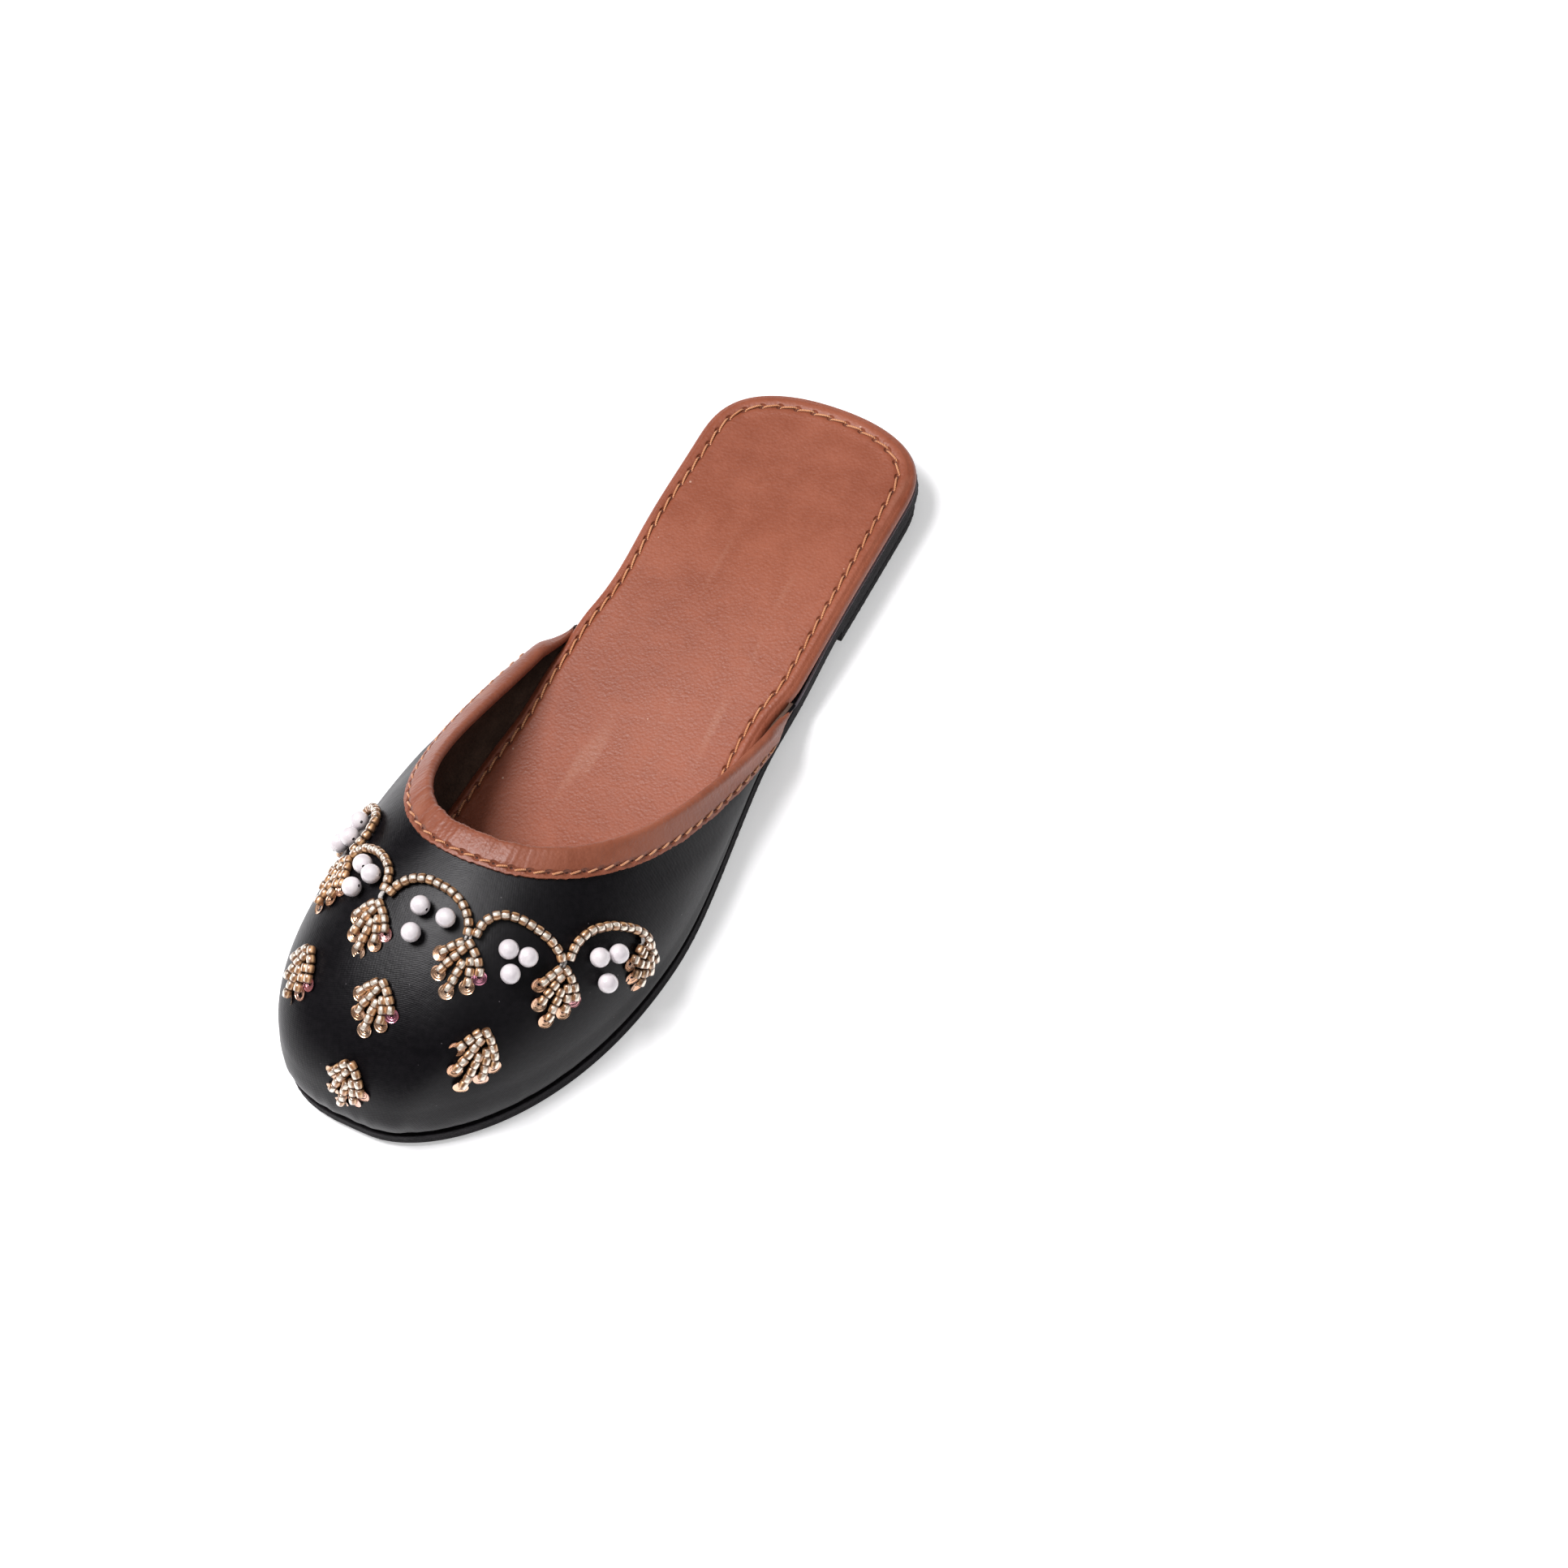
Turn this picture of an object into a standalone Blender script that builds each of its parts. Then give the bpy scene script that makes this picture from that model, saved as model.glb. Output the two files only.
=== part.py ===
"""Left shoe of a pair of backless mojari, with its bead strings and pearls.

Metres, +Z up, with the origin under the middle of the heel. The toe points to -Y and
the inner (medial) side to -X. Heel and forefoot stand on z = 0. A station is a distance
from the back of the heel along the shoe. The upper is a fan of ribs that run round from
the outer rear end (turn 0) over the toe (turn 0.5) to the inner rear end (turn 1). Along
a rib, rise goes from 0 at the feather line on the sole to 1 at the topline.
"""

import math

import bpy
import numpy as np

# Lengths along the shoe, from the back of the heel
LENGTH = 0.250
HEEL_ROUND = 0.026
HEEL_SEAT_END = 0.050
HEEL_BREAST = 0.062
REST_STATION = HEEL_BREAST / 2
VAMP_REAR = 0.092
TREAD_START = 0.160
SPRING_START = 0.190
THROAT_STATION = 0.182
FLARE_RUN_IN = 0.026
FLARE_HOLD = 0.024
FLARE_RUN_OUT = 0.040
LEDGE_RUN_IN = 0.040
INSOLE_TUCK_RUN = 0.010
INSOLE_TUCK_LEAD = 0.002
INSOLE_DRAW_RUN = 0.032
INSOLE_OUTER_LEAD = 0.040

# Widths of the sole, across
HEEL_WIDTH = 0.0654
WAIST_WIDTH = 0.0650
BALL_OUTER = 0.0435
BALL_INNER = 0.0449
BALL_STATION_OUTER = 0.1733
BALL_STATION_INNER = 0.1575
WIDENING_OUTER = 0.1013
WIDENING_INNER = HEEL_ROUND
TOE_SWING = 0.0118
WAIST_SWING = 0.0019
REAR_FLARE = 0.0008
REAR_SPREAD = 0.0023
INSOLE_DRAW = 0.0045

# Heights and thicknesses
HEEL_LIFT_HEIGHT = 0.0080
OUTSOLE_THICKNESS = 0.0040
INSOLE_THICKNESS = 0.0040
UPPER_WALL = 0.0018
BINDING_THICKNESS = 0.0010
TOE_SPRING = 0.0020
THROAT_HEIGHT = 0.0534
REAR_END_RISE = 0.0010
OPENING_HALF_WIDTH = 0.0376
SIDE_BULGE = 0.0076
INNER_BULGE = 0.0015
OUTER_BULGE = 0.0015
FEATHER_LEDGE = 0.0017
REAR_LEDGE = 0.0004
HEEL_TAPER = 0.0012
HEEL_INSET = 0.0008
OUTER_FLANGE = 0.0072
INNER_FLANGE = 0.0065
PEARL_DIAMETER = 0.0052
BEAD_STRING_DIAMETER = 0.0028
CLEARANCE = 0.0003
BINDING_GAP = 0.00045
OUTSOLE_EDGE_ROUND = 0.0006
INSOLE_EDGE_ROUND = 0.0016

# Roundness of the curves, as exponents and shares of a rib's rise and reach
HEEL_POWERS = (3.1, 2.2)
TOE_POWERS_OUTER = (2.04, 1.84)
TOE_POWERS_INNER = (3.48, 3.30)
OPENING_POWER = 2.72
OPENING_CORNER = 2.19
WALL_RISE = 0.58
INNER_WALL_RISE = 0.09
THROAT_REACH = 0.44
THROAT_FALL = 0.08
OUTER_FALL = 0.28
BULGE_ONSET = 1.6
OUTER_ONSET = 1.1
FLANGE_SHARE = 0.75
FLANGE_BEND = 0.10
FLANGE_MIDDLE = 0.55
SWING_START = 0.28
WAIST_AT = 0.40
WAIST_SPREAD = 0.22
FOOT_UPRIGHT_RISE = 0.2

# Number of sections and points
SOLE_SECTIONS = 48
RIBS = 81
REAR_RIB_PACKING = 0.4
REAR_RIB_EASE = 1 / 100
RIB_POINTS = 13
PEARL_SEGMENTS = 10
PEARL_RINGS = 6
STRING_POINTS = 13
FINE_RISES = 41
FEATHER_POINTS = 90
SMALL_STEP = 1 / 1000
SHARP_ANGLE = math.radians(40)

OUTER = 1
INNER = -1

# Rows: each ring round a sole layer from its lower face up, as its inset and its share of the height
OUTSOLE_EDGE = ((OUTSOLE_EDGE_ROUND, 0.0), (0.0, 0.15), (0.0, 0.85), (0.5 * OUTSOLE_EDGE_ROUND, 1.0))
INSOLE_EDGE = (
    (0.625 * INSOLE_EDGE_ROUND, 0.0),
    (0.0, 0.30),
    (0.0, 0.60),
    (0.25 * INSOLE_EDGE_ROUND, 0.85),
    (INSOLE_EDGE_ROUND, 1.0),
)
HEEL_EDGE = ((HEEL_INSET + HEEL_TAPER, 0.0), (HEEL_INSET, 1.0))

# Rows: place of each pearl on the upper, as its turn and rise
PEARLS = (
    ("outer_end_a", 0.311, 0.526),
    ("outer_end_b", 0.291, 0.488),
    ("outer_end_c", 0.305, 0.398),
    ("outer_a", 0.408, 0.678),
    ("outer_b", 0.386, 0.640),
    ("outer_c", 0.401, 0.600),
    ("middle_a", 0.509, 0.766),
    ("middle_b", 0.484, 0.760),
    ("middle_c", 0.504, 0.696),
    ("inner_a", 0.607, 0.728),
    ("inner_b", 0.584, 0.748),
    ("inner_c", 0.592, 0.680),
    ("inner_end_a", 0.701, 0.614),
    ("inner_end_b", 0.681, 0.606),
    ("inner_end_c", 0.694, 0.502),
)

# Rows: bead string, then turn and rise of its outer end, of its crown and of its inner end
BEAD_STRINGS = (
    ("outer_end", (0.251, 0.322), (0.290, 0.610), (0.336, 0.574)),
    ("outer", (0.350, 0.594), (0.401, 0.766), (0.442, 0.726)),
    ("middle", (0.458, 0.730), (0.506, 0.836), (0.547, 0.768)),
    ("inner", (0.562, 0.762), (0.606, 0.786), (0.646, 0.660)),
    ("inner_end", (0.661, 0.640), (0.707, 0.684), (0.742, 0.366)),
)

# Colours
SOLE_BLACK = (0.012, 0.012, 0.013)
SATIN_BLACK = (0.006, 0.006, 0.008)
FOOTBED_TAN = (0.32, 0.125, 0.062)
BINDING_TAN = (0.30, 0.115, 0.055)
PEARL_WHITE = (0.86, 0.82, 0.82)
BEAD_GOLD = (0.56, 0.38, 0.20)


def smooth(x, start, end):
    """A step from 0 at start to 1 at end, level at both."""
    q = np.clip((np.asarray(x, float) - start) / (end - start), 0.0, 1.0)
    return q * q * (3.0 - 2.0 * q)


def half_width(station, side):
    """Half width of the tread's outline, on the outer or the inner side of its centre line.

    A rounded heel, a waist and a ball joined by a level-ended step with a dip, and a
    superellipse from the ball to the toe. The outer side runs straight to where it widens.
    """
    s = np.asarray(station, float)
    heel, waist = HEEL_WIDTH / 2, WAIST_WIDTH / 2
    if side == OUTER:
        ball, ball_station, toe_powers = BALL_OUTER, BALL_STATION_OUTER, TOE_POWERS_OUTER
        widening = WIDENING_OUTER
    else:
        ball, ball_station, toe_powers = BALL_INNER, BALL_STATION_INNER, TOE_POWERS_INNER
        widening = WIDENING_INNER
    back = np.clip((HEEL_ROUND - s) / HEEL_ROUND, 0.0, 1.0)
    rounded = heel * (1 - back ** HEEL_POWERS[0]) ** (1 / HEEL_POWERS[1])
    q = np.clip((s - HEEL_ROUND) / (ball_station - HEEL_ROUND), 0.0, 1.0)
    waist_station = HEEL_ROUND + WAIST_AT * (ball_station - HEEL_ROUND)
    dip = waist - heel - (ball - heel) * smooth(waist_station, widening, ball_station)
    side_line = heel + (ball - heel) * smooth(s, widening, ball_station)
    side_line = side_line + dip * np.exp(-(((q - WAIST_AT) / WAIST_SPREAD) ** 2)) * np.sin(np.pi * q)
    front = np.clip((s - ball_station) / (LENGTH - ball_station), 0.0, 1.0)
    toe = ball * (1 - front ** toe_powers[0]) ** (1 / toe_powers[1])
    return np.where(s < HEEL_ROUND, rounded, np.where(s < ball_station, side_line, toe))


def centre_line(station):
    """How far the centre line lies to +X: the toe swings to the inner side."""
    q = np.clip((np.asarray(station, float) / LENGTH - SWING_START) / (1 - SWING_START), 0.0, 1.0)
    return -(TOE_SWING * q**2 + WAIST_SWING * np.sin(np.pi * q) ** 2)


def underside(station):
    """Height of the outsole's lower face: heel seat, arch, flat tread and toe spring."""
    s = np.asarray(station, float)
    arch = (HEEL_LIFT_HEIGHT + CLEARANCE) * (1 - smooth(s, HEEL_SEAT_END, TREAD_START))
    front = np.clip((s - SPRING_START) / (LENGTH - SPRING_START), 0.0, 1.0)
    return arch + TOE_SPRING * front**2


def outsole_top(station):
    return underside(station) + OUTSOLE_THICKNESS


def insole_bottom(station):
    return outsole_top(station) + CLEARANCE


def insole_top(station):
    return insole_bottom(station) + INSOLE_THICKNESS


def rear_flare(station):
    """The sole is a little wider where the vamp's rear ends stand on it."""
    rear = smooth(station, VAMP_REAR - FLARE_RUN_IN, VAMP_REAR)
    flare_end = VAMP_REAR + FLARE_HOLD
    return REAR_FLARE * rear * (1 - smooth(station, flare_end, flare_end + FLARE_RUN_OUT))


def ledge(station):
    """Width of outsole left bare outside the upper."""
    run_in = smooth(station, VAMP_REAR, VAMP_REAR + LEDGE_RUN_IN)
    return REAR_LEDGE + (FEATHER_LEDGE - REAR_LEDGE) * run_in


def feather_inset(station):
    return ledge(station) - rear_flare(station)


def insole_inset(station, side):
    """Flush with the outsole at the heel, inside the upper's wall from its rear, narrower ahead of that."""
    inside = feather_inset(station) + UPPER_WALL + 2 * CLEARANCE
    tucked = VAMP_REAR - INSOLE_TUCK_LEAD
    tuck = inside * smooth(station, tucked - INSOLE_TUCK_RUN, tucked)
    drawn = tucked + (INSOLE_OUTER_LEAD if side == OUTER else 0.0)
    return tuck + INSOLE_DRAW * smooth(station, drawn, drawn + INSOLE_DRAW_RUN)


def side_points(side, stations, inset):
    """Points of the outline on one side, moved in along its own normal by inset(stations)."""
    x = half_width(stations, side)
    slope = np.gradient(x, stations)
    across = 1 / np.sqrt(1 + slope**2)
    along = -slope * across
    depth = inset(stations)
    x = np.maximum(x - depth * across, 0.0)
    s = stations - depth * along
    return np.stack([side * x + centre_line(s), s], axis=-1)


def to_world(across, station, height):
    return np.stack([across, REST_STATION - station, height + 0.0 * station], axis=-1)


def ring_stations(first, last, count):
    """Stations packed towards both ends, where the outline turns."""
    return first + (last - first) * (1 - np.cos(np.linspace(0, math.pi, count))) / 2


def add_object(name, points, faces, material, parts):
    mesh = bpy.data.meshes.new(name)
    mesh.from_pydata([tuple(p) for p in np.asarray(points).reshape(-1, 3)], [], faces)
    mesh.validate()
    mesh.update()
    mesh.shade_smooth()
    mesh.set_sharp_from_angle(angle=SHARP_ANGLE)
    mesh.materials.append(material)
    obj = bpy.data.objects.new(name, mesh)
    parts.objects.link(obj)
    return obj


def loft(name, sections, material, parts):
    """A closed tube through sections of equal point count, with a flat cap at each end."""
    count, size = sections.shape[:2]
    faces = []
    for i in range(count - 1):
        for j in range(size):
            k = (j + 1) % size
            faces.append((i * size + j, i * size + k, (i + 1) * size + k, (i + 1) * size + j))
    faces.append(tuple(range(size))[::-1])
    faces.append(tuple(range((count - 1) * size, count * size)))
    return add_object(name, sections, faces, material, parts)


def plate(name, last, inset, bottom, top, edge, material, parts):
    """A sole layer from the heel to station last.

    edge has a row for each ring round the layer, from its lower face to its upper one: the
    ring's own inset and its share of the height. Each face is a row of strips across the layer.
    """
    stations = ring_stations(0.0, last, SOLE_SECTIONS)
    points = []
    for extra, share in edge:
        rings = []
        for side in (OUTER, INNER):
            rim = side_points(side, stations, lambda s: inset(s, side) + extra)
            low, high = bottom(rim[:, 1]), top(rim[:, 1])
            rings.append(to_world(rim[:, 0], rim[:, 1], low + share * (high - low)))
        inner = rings[1][1:-1] if last == LENGTH else rings[1][1:]
        points.append(np.concatenate([rings[0], inner[::-1]]))
    size = len(points[0])
    faces = []
    for i in range(len(points) - 1):
        for j in range(size):
            k = (j + 1) % size
            faces.append((i * size + k, i * size + j, (i + 1) * size + j, (i + 1) * size + k))
    for start, turn in ((0, 1), ((len(points) - 1) * size, -1)):
        for j in range(size // 2):
            strip = [start + j, start + j + 1, start + (size - j - 1) % size, start + (size - j) % size]
            strip = list(dict.fromkeys(strip))
            if len(strip) > 2:
                faces.append(tuple(strip[::turn]))
    return add_object(name, np.concatenate(points), faces, material, parts)


def feather_line(turn):
    """Where each rib starts: equal lengths along the upper's foot, on top of the outsole."""
    quarter = np.sin(np.linspace(0, math.pi / 2, FEATHER_POINTS))
    stations = VAMP_REAR + (LENGTH - VAMP_REAR) * quarter
    outer = side_points(OUTER, stations, feather_inset)
    inner = side_points(INNER, stations, feather_inset)
    line = np.concatenate([outer, inner[::-1][1:]])
    steps = np.hypot(*np.diff(line, axis=0).T)
    share = np.concatenate([[0.0], np.cumsum(steps)]) / steps.sum()
    across = np.interp(turn, share, line[:, 0])
    station = np.interp(turn, share, line[:, 1])
    return to_world(across, station, insole_bottom(station))


def topline(turn):
    """The edge of the opening: a superellipse in plan that climbs from the rear ends to the throat."""
    nearest = np.minimum(turn, 1 - turn)
    share = nearest**2 / (nearest + REAR_RIB_EASE) * (1 + 2 * REAR_RIB_EASE)
    angle = np.where(turn < 0.5, share - 0.5, 0.5 - share) * math.pi
    cosine, sine = np.abs(np.cos(angle)), np.abs(np.sin(angle))
    side = -np.sign(angle)
    station = VAMP_REAR + (THROAT_STATION - VAMP_REAR) * cosine ** (2 / OPENING_POWER)
    outer_half = half_width(VAMP_REAR, OUTER) + REAR_SPREAD
    rear_half = np.where(side > 0, outer_half, half_width(VAMP_REAR, INNER))
    rear_half = rear_half + REAR_FLARE - REAR_LEDGE / 2
    corner = np.abs(np.sin(2 * angle)) ** OPENING_CORNER
    across = rear_half * sine ** (2 / OPENING_POWER) + (OPENING_HALF_WIDTH - rear_half) * corner
    rear_height = insole_top(VAMP_REAR) + REAR_END_RISE
    height = rear_height + (THROAT_HEIGHT - rear_height) * cosine
    return to_world(side * across + centre_line(station), station, height)


def along_line(line, turn):
    """A short step along the feather line or the topline, towards the inner rear end."""
    return line(np.minimum(turn + SMALL_STEP, 1)) - line(np.maximum(turn - SMALL_STEP, 0))


def upper_point(turn, rise):
    """The upper's outer face: each rib is a Bezier curve from the feather line to the topline."""
    turn, rise = np.broadcast_arrays(np.asarray(turn, float), np.asarray(rise, float))
    foot, top = feather_line(turn), topline(turn)
    up = np.array([0.0, 0.0, 1.0])
    reach = (top - foot) * (1 - up)
    along = along_line(feather_line, turn)
    outward = np.cross(up, along) * (1 - up)
    outward = outward / np.linalg.norm(outward, axis=-1, keepdims=True)
    height = (top - foot)[..., 2:]
    inner_share = -np.cos(np.pi * turn)[..., None]
    full_height = THROAT_HEIGHT - OUTSOLE_THICKNESS
    outer_share = np.clip(-inner_share, 0.0, 1.0) ** 2
    onset = np.clip((BULGE_ONSET + OUTER_ONSET * outer_share) * height / full_height, 0.0, 1.0)
    bulge = (SIDE_BULGE + INNER_BULGE * inner_share + OUTER_BULGE * outer_share) * onset
    low = foot + up * height * (WALL_RISE + INNER_WALL_RISE * inner_share) + outward * bulge
    fall = THROAT_FALL + OUTER_FALL * outer_share
    high = top - reach * THROAT_REACH - up * height * fall
    v = rise[..., None]
    return (1 - v) ** 3 * foot + 3 * (1 - v) ** 2 * v * low + 3 * (1 - v) * v**2 * high + v**3 * top


def upper_normal(turn, rise):
    """Outward direction of the upper, level at the feather line so that its foot is flat."""
    turn, rise = np.broadcast_arrays(np.asarray(turn, float), np.asarray(rise, float))
    ahead, behind = (np.clip(turn + step, 0, 1) for step in (SMALL_STEP, -SMALL_STEP))
    above, below = (np.clip(rise + step, 0, 1) for step in (SMALL_STEP, -SMALL_STEP))
    turn_step = upper_point(ahead, rise) - upper_point(behind, rise)
    rise_step = upper_point(turn, above) - upper_point(turn, below)
    normal = np.cross(rise_step, turn_step)
    normal = normal / np.linalg.norm(normal, axis=-1, keepdims=True)
    normal[..., 2] *= np.clip(rise / FOOT_UPRIGHT_RISE, 0.0, 1.0)
    return normal / np.linalg.norm(normal, axis=-1, keepdims=True)


def rib_turns():
    """Where the ribs stand round the foot, closer together at the rear ends."""
    even = np.linspace(0, 1, RIBS)
    return even - REAR_RIB_PACKING * np.sin(2 * np.pi * even) / (2 * np.pi)


def make_upper(material, parts):
    """A hollow vamp: its section at each rib runs up the outer face and down the inner one."""
    turn = rib_turns()[:, None]
    rise = np.linspace(0, 1, RIB_POINTS)[None, :]
    outer = upper_point(turn, rise)
    inner = outer - UPPER_WALL * upper_normal(turn, rise)
    sections = np.concatenate([outer, inner[:, ::-1]], axis=1)
    return loft("upper", sections, material, parts)


def rise_from_top(turn, depth):
    """The rise on each rib at a given distance down from the topline."""
    fine = np.linspace(1, 0, FINE_RISES)
    ribs = upper_point(turn[:, None], fine[None, :])
    lengths = np.linalg.norm(np.diff(ribs, axis=1), axis=-1).cumsum(axis=1)
    lengths = np.concatenate([np.zeros((len(turn), 1)), lengths], axis=1)
    return np.array([np.interp(d, rib, fine) for d, rib in zip(depth, lengths)])


def make_binding(material, parts):
    """A leather strip folded over the topline: outer flange, roll and inner flange.

    Each flange follows the upper's face a clearance away, and stops short of the sole.
    """
    turn = rib_turns()
    lip = upper_point(turn, 1.0)
    normal = upper_normal(turn, 1.0)
    along = along_line(topline, turn)
    up = np.cross(normal, along)
    up = up * np.sign(up[:, 2:]) / np.linalg.norm(up, axis=-1, keepdims=True)
    core = lip - normal * UPPER_WALL / 2
    height = lip[:, 2] - feather_line(turn)[:, 2]
    inner_lip = lip - normal * (UPPER_WALL + BINDING_GAP + BINDING_THICKNESS)
    above_insole = inner_lip[:, 2] - insole_top(REST_STATION - inner_lip[:, 1])
    outer_depth = np.minimum(OUTER_FLANGE, FLANGE_SHARE * height)
    inner_depth = np.clip(above_insole - 2 * CLEARANCE, CLEARANCE, INNER_FLANGE)
    near = BINDING_GAP
    far = BINDING_GAP + BINDING_THICKNESS

    def outer_face(share, away):
        rise = rise_from_top(turn, outer_depth * share)
        return upper_point(turn, rise) + upper_normal(turn, rise) * away

    def inner_face(share, away):
        rise = rise_from_top(turn, inner_depth * share)
        return upper_point(turn, rise) - upper_normal(turn, rise) * (UPPER_WALL + away)

    def roll(degrees, away):
        angle = math.radians(degrees)
        radius = UPPER_WALL / 2 + away
        return core + radius * (normal * math.cos(angle) + up * math.sin(angle))

    section = [outer_face(share, far) for share in (1.0, FLANGE_MIDDLE, FLANGE_BEND)]
    section += [roll(degrees, far) for degrees in (35, 90, 145)]
    section += [inner_face(share, far) for share in (FLANGE_BEND, 1.0)]
    section += [inner_face(share, near) for share in (1.0, FLANGE_BEND)]
    section += [roll(degrees, near) for degrees in (135, 45)]
    section += [outer_face(share, near) for share in (FLANGE_BEND, FLANGE_MIDDLE, 1.0)]
    return loft("collar_binding", np.stack(section, axis=1), material, parts)


def make_pearl(name, turn, rise, material, parts):
    """A round pearl that lies a clearance off the upper."""
    reach = PEARL_DIAMETER / 2 + CLEARANCE
    centre = upper_point(turn, rise) + upper_normal(turn, rise) * reach
    bpy.ops.mesh.primitive_uv_sphere_add(
        segments=PEARL_SEGMENTS, ring_count=PEARL_RINGS, radius=PEARL_DIAMETER / 2, location=tuple(centre)
    )
    obj = bpy.context.object
    obj.name = f"pearl_{name}"
    obj.data.name = obj.name
    obj.data.shade_smooth()
    obj.data.materials.append(material)
    for collection in list(obj.users_collection):
        collection.objects.unlink(obj)
    parts.objects.link(obj)
    return obj


def make_bead_string(name, ends_and_crown, material, parts):
    """A strung row of beads as one cord, in half an ellipse on the upper."""
    first, crown, last = (np.array(place) for place in ends_and_crown)
    angle = np.linspace(0, math.pi, STRING_POINTS)[:, None]
    middle = (first + last) / 2
    route = middle - (last - first) / 2 * np.cos(angle) + (crown - middle) * np.sin(angle)
    away = BEAD_STRING_DIAMETER / 2 + CLEARANCE
    points = upper_point(route[:, 0], route[:, 1]) + upper_normal(route[:, 0], route[:, 1]) * away
    curve = bpy.data.curves.new(f"bead_string_{name}", "CURVE")
    curve.dimensions = "3D"
    curve.bevel_depth = BEAD_STRING_DIAMETER / 2
    curve.bevel_resolution = 2
    curve.use_fill_caps = True
    spline = curve.splines.new("POLY")
    spline.points.add(len(points) - 1)
    spline.points.foreach_set("co", np.column_stack([points, np.ones(len(points))]).ravel())
    curve.materials.append(material)
    obj = bpy.data.objects.new(curve.name, curve)
    parts.objects.link(obj)
    return obj


def make_material(name, colour, roughness, metallic=0.0):
    material = bpy.data.materials.new(name)
    material.use_nodes = True
    shader = material.node_tree.nodes["Principled BSDF"]
    shader.inputs["Base Color"].default_value = (*colour, 1.0)
    shader.inputs["Roughness"].default_value = roughness
    shader.inputs["Metallic"].default_value = metallic
    material.diffuse_color = (*colour, 1.0)
    return material


def clear_scene():
    for obj in list(bpy.data.objects):
        bpy.data.objects.remove(obj, do_unlink=True)


def main():
    clear_scene()
    parts = bpy.data.collections.new("mojari_shoe")
    bpy.context.scene.collection.children.link(parts)

    plate("outsole", LENGTH, lambda s, side: -rear_flare(s), underside, outsole_top, OUTSOLE_EDGE,
          make_material("outsole rubber", SOLE_BLACK, 0.75), parts)
    plate("insole", LENGTH, insole_inset, insole_bottom, insole_top, INSOLE_EDGE,
          make_material("insole leather", FOOTBED_TAN, 0.45), parts)
    plate("heel_lift", HEEL_BREAST, lambda s, side: 0.0 * s, lambda s: 0.0 * s,
          lambda s: underside(s) - CLEARANCE, HEEL_EDGE,
          make_material("heel lift rubber", SOLE_BLACK, 0.70), parts)
    make_upper(make_material("upper satin", SATIN_BLACK, 0.35), parts)
    make_binding(make_material("binding leather", BINDING_TAN, 0.42), parts)
    for name, turn, rise in PEARLS:
        make_pearl(name, turn, rise, make_material(f"pearl {name}", PEARL_WHITE, 0.20), parts)
    for name, *route in BEAD_STRINGS:
        make_bead_string(name, route, make_material(f"beads {name}", BEAD_GOLD, 0.25, 0.6), parts)


main()
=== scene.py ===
"""Looks of a left backless mojari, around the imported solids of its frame.

The footbed is tan leather over board, the vamp is black satin lined with suede and bound
with a rolled leather strip, and the embroidery is silver-lined beads, sequins and pearls.
Metres, +Z up. The toe points to -Y and the inner (medial) side to -X. A station is a
distance from the back of the heel. On the vamp, turn runs round from the outer rear end
(0) over the toe (0.5) to the inner rear end (1), and rise from the feather line on the
sole (0) to the topline (1).
"""

import math

import bmesh
import bpy
import numpy as np
from mathutils import Matrix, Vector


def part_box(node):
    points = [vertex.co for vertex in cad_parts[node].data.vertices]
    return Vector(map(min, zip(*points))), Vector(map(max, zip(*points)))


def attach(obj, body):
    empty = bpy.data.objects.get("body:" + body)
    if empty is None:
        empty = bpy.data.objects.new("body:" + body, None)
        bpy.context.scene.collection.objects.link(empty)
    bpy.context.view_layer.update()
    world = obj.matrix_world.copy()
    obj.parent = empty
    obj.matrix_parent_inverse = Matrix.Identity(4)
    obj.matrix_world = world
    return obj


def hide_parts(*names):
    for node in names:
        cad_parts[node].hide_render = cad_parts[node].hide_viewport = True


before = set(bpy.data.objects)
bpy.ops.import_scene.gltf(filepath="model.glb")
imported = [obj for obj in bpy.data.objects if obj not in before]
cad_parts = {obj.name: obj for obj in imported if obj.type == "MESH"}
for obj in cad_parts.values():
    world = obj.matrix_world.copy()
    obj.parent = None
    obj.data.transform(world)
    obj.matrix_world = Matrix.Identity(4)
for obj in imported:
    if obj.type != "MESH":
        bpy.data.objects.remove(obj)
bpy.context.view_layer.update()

MM = 0.001
UP = np.array([0.0, 0.0, 1.0])
OUTER = 1
INNER = -1

# Lengths along the shoe, from the back of the heel
SOLE_LOW, SOLE_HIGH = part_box("outsole")
REST_STATION = SOLE_HIGH.y
LENGTH = SOLE_HIGH.y - SOLE_LOW.y
HEEL_ROUND = 0.026
HEEL_SEAT_END = 0.050
HEEL_BREAST = REST_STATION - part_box("heel_lift")[0].y
VAMP_REAR = 0.092
TREAD_START = 0.160
SPRING_START = 0.190
THROAT_STATION = 0.182

# Widths of the sole
HEEL_WIDTH = 0.0654
WAIST_WIDTH = 0.0650
BALL_OUTER = 0.0435
BALL_INNER = 0.0449
BALL_STATION_OUTER = 0.1733
BALL_STATION_INNER = 0.1575
WIDENING_OUTER = 0.1013
TOE_SWING = 0.0118
WAIST_SWING = 0.0019
REAR_FLARE = 0.0008
REAR_SPREAD = 0.0023

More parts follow.
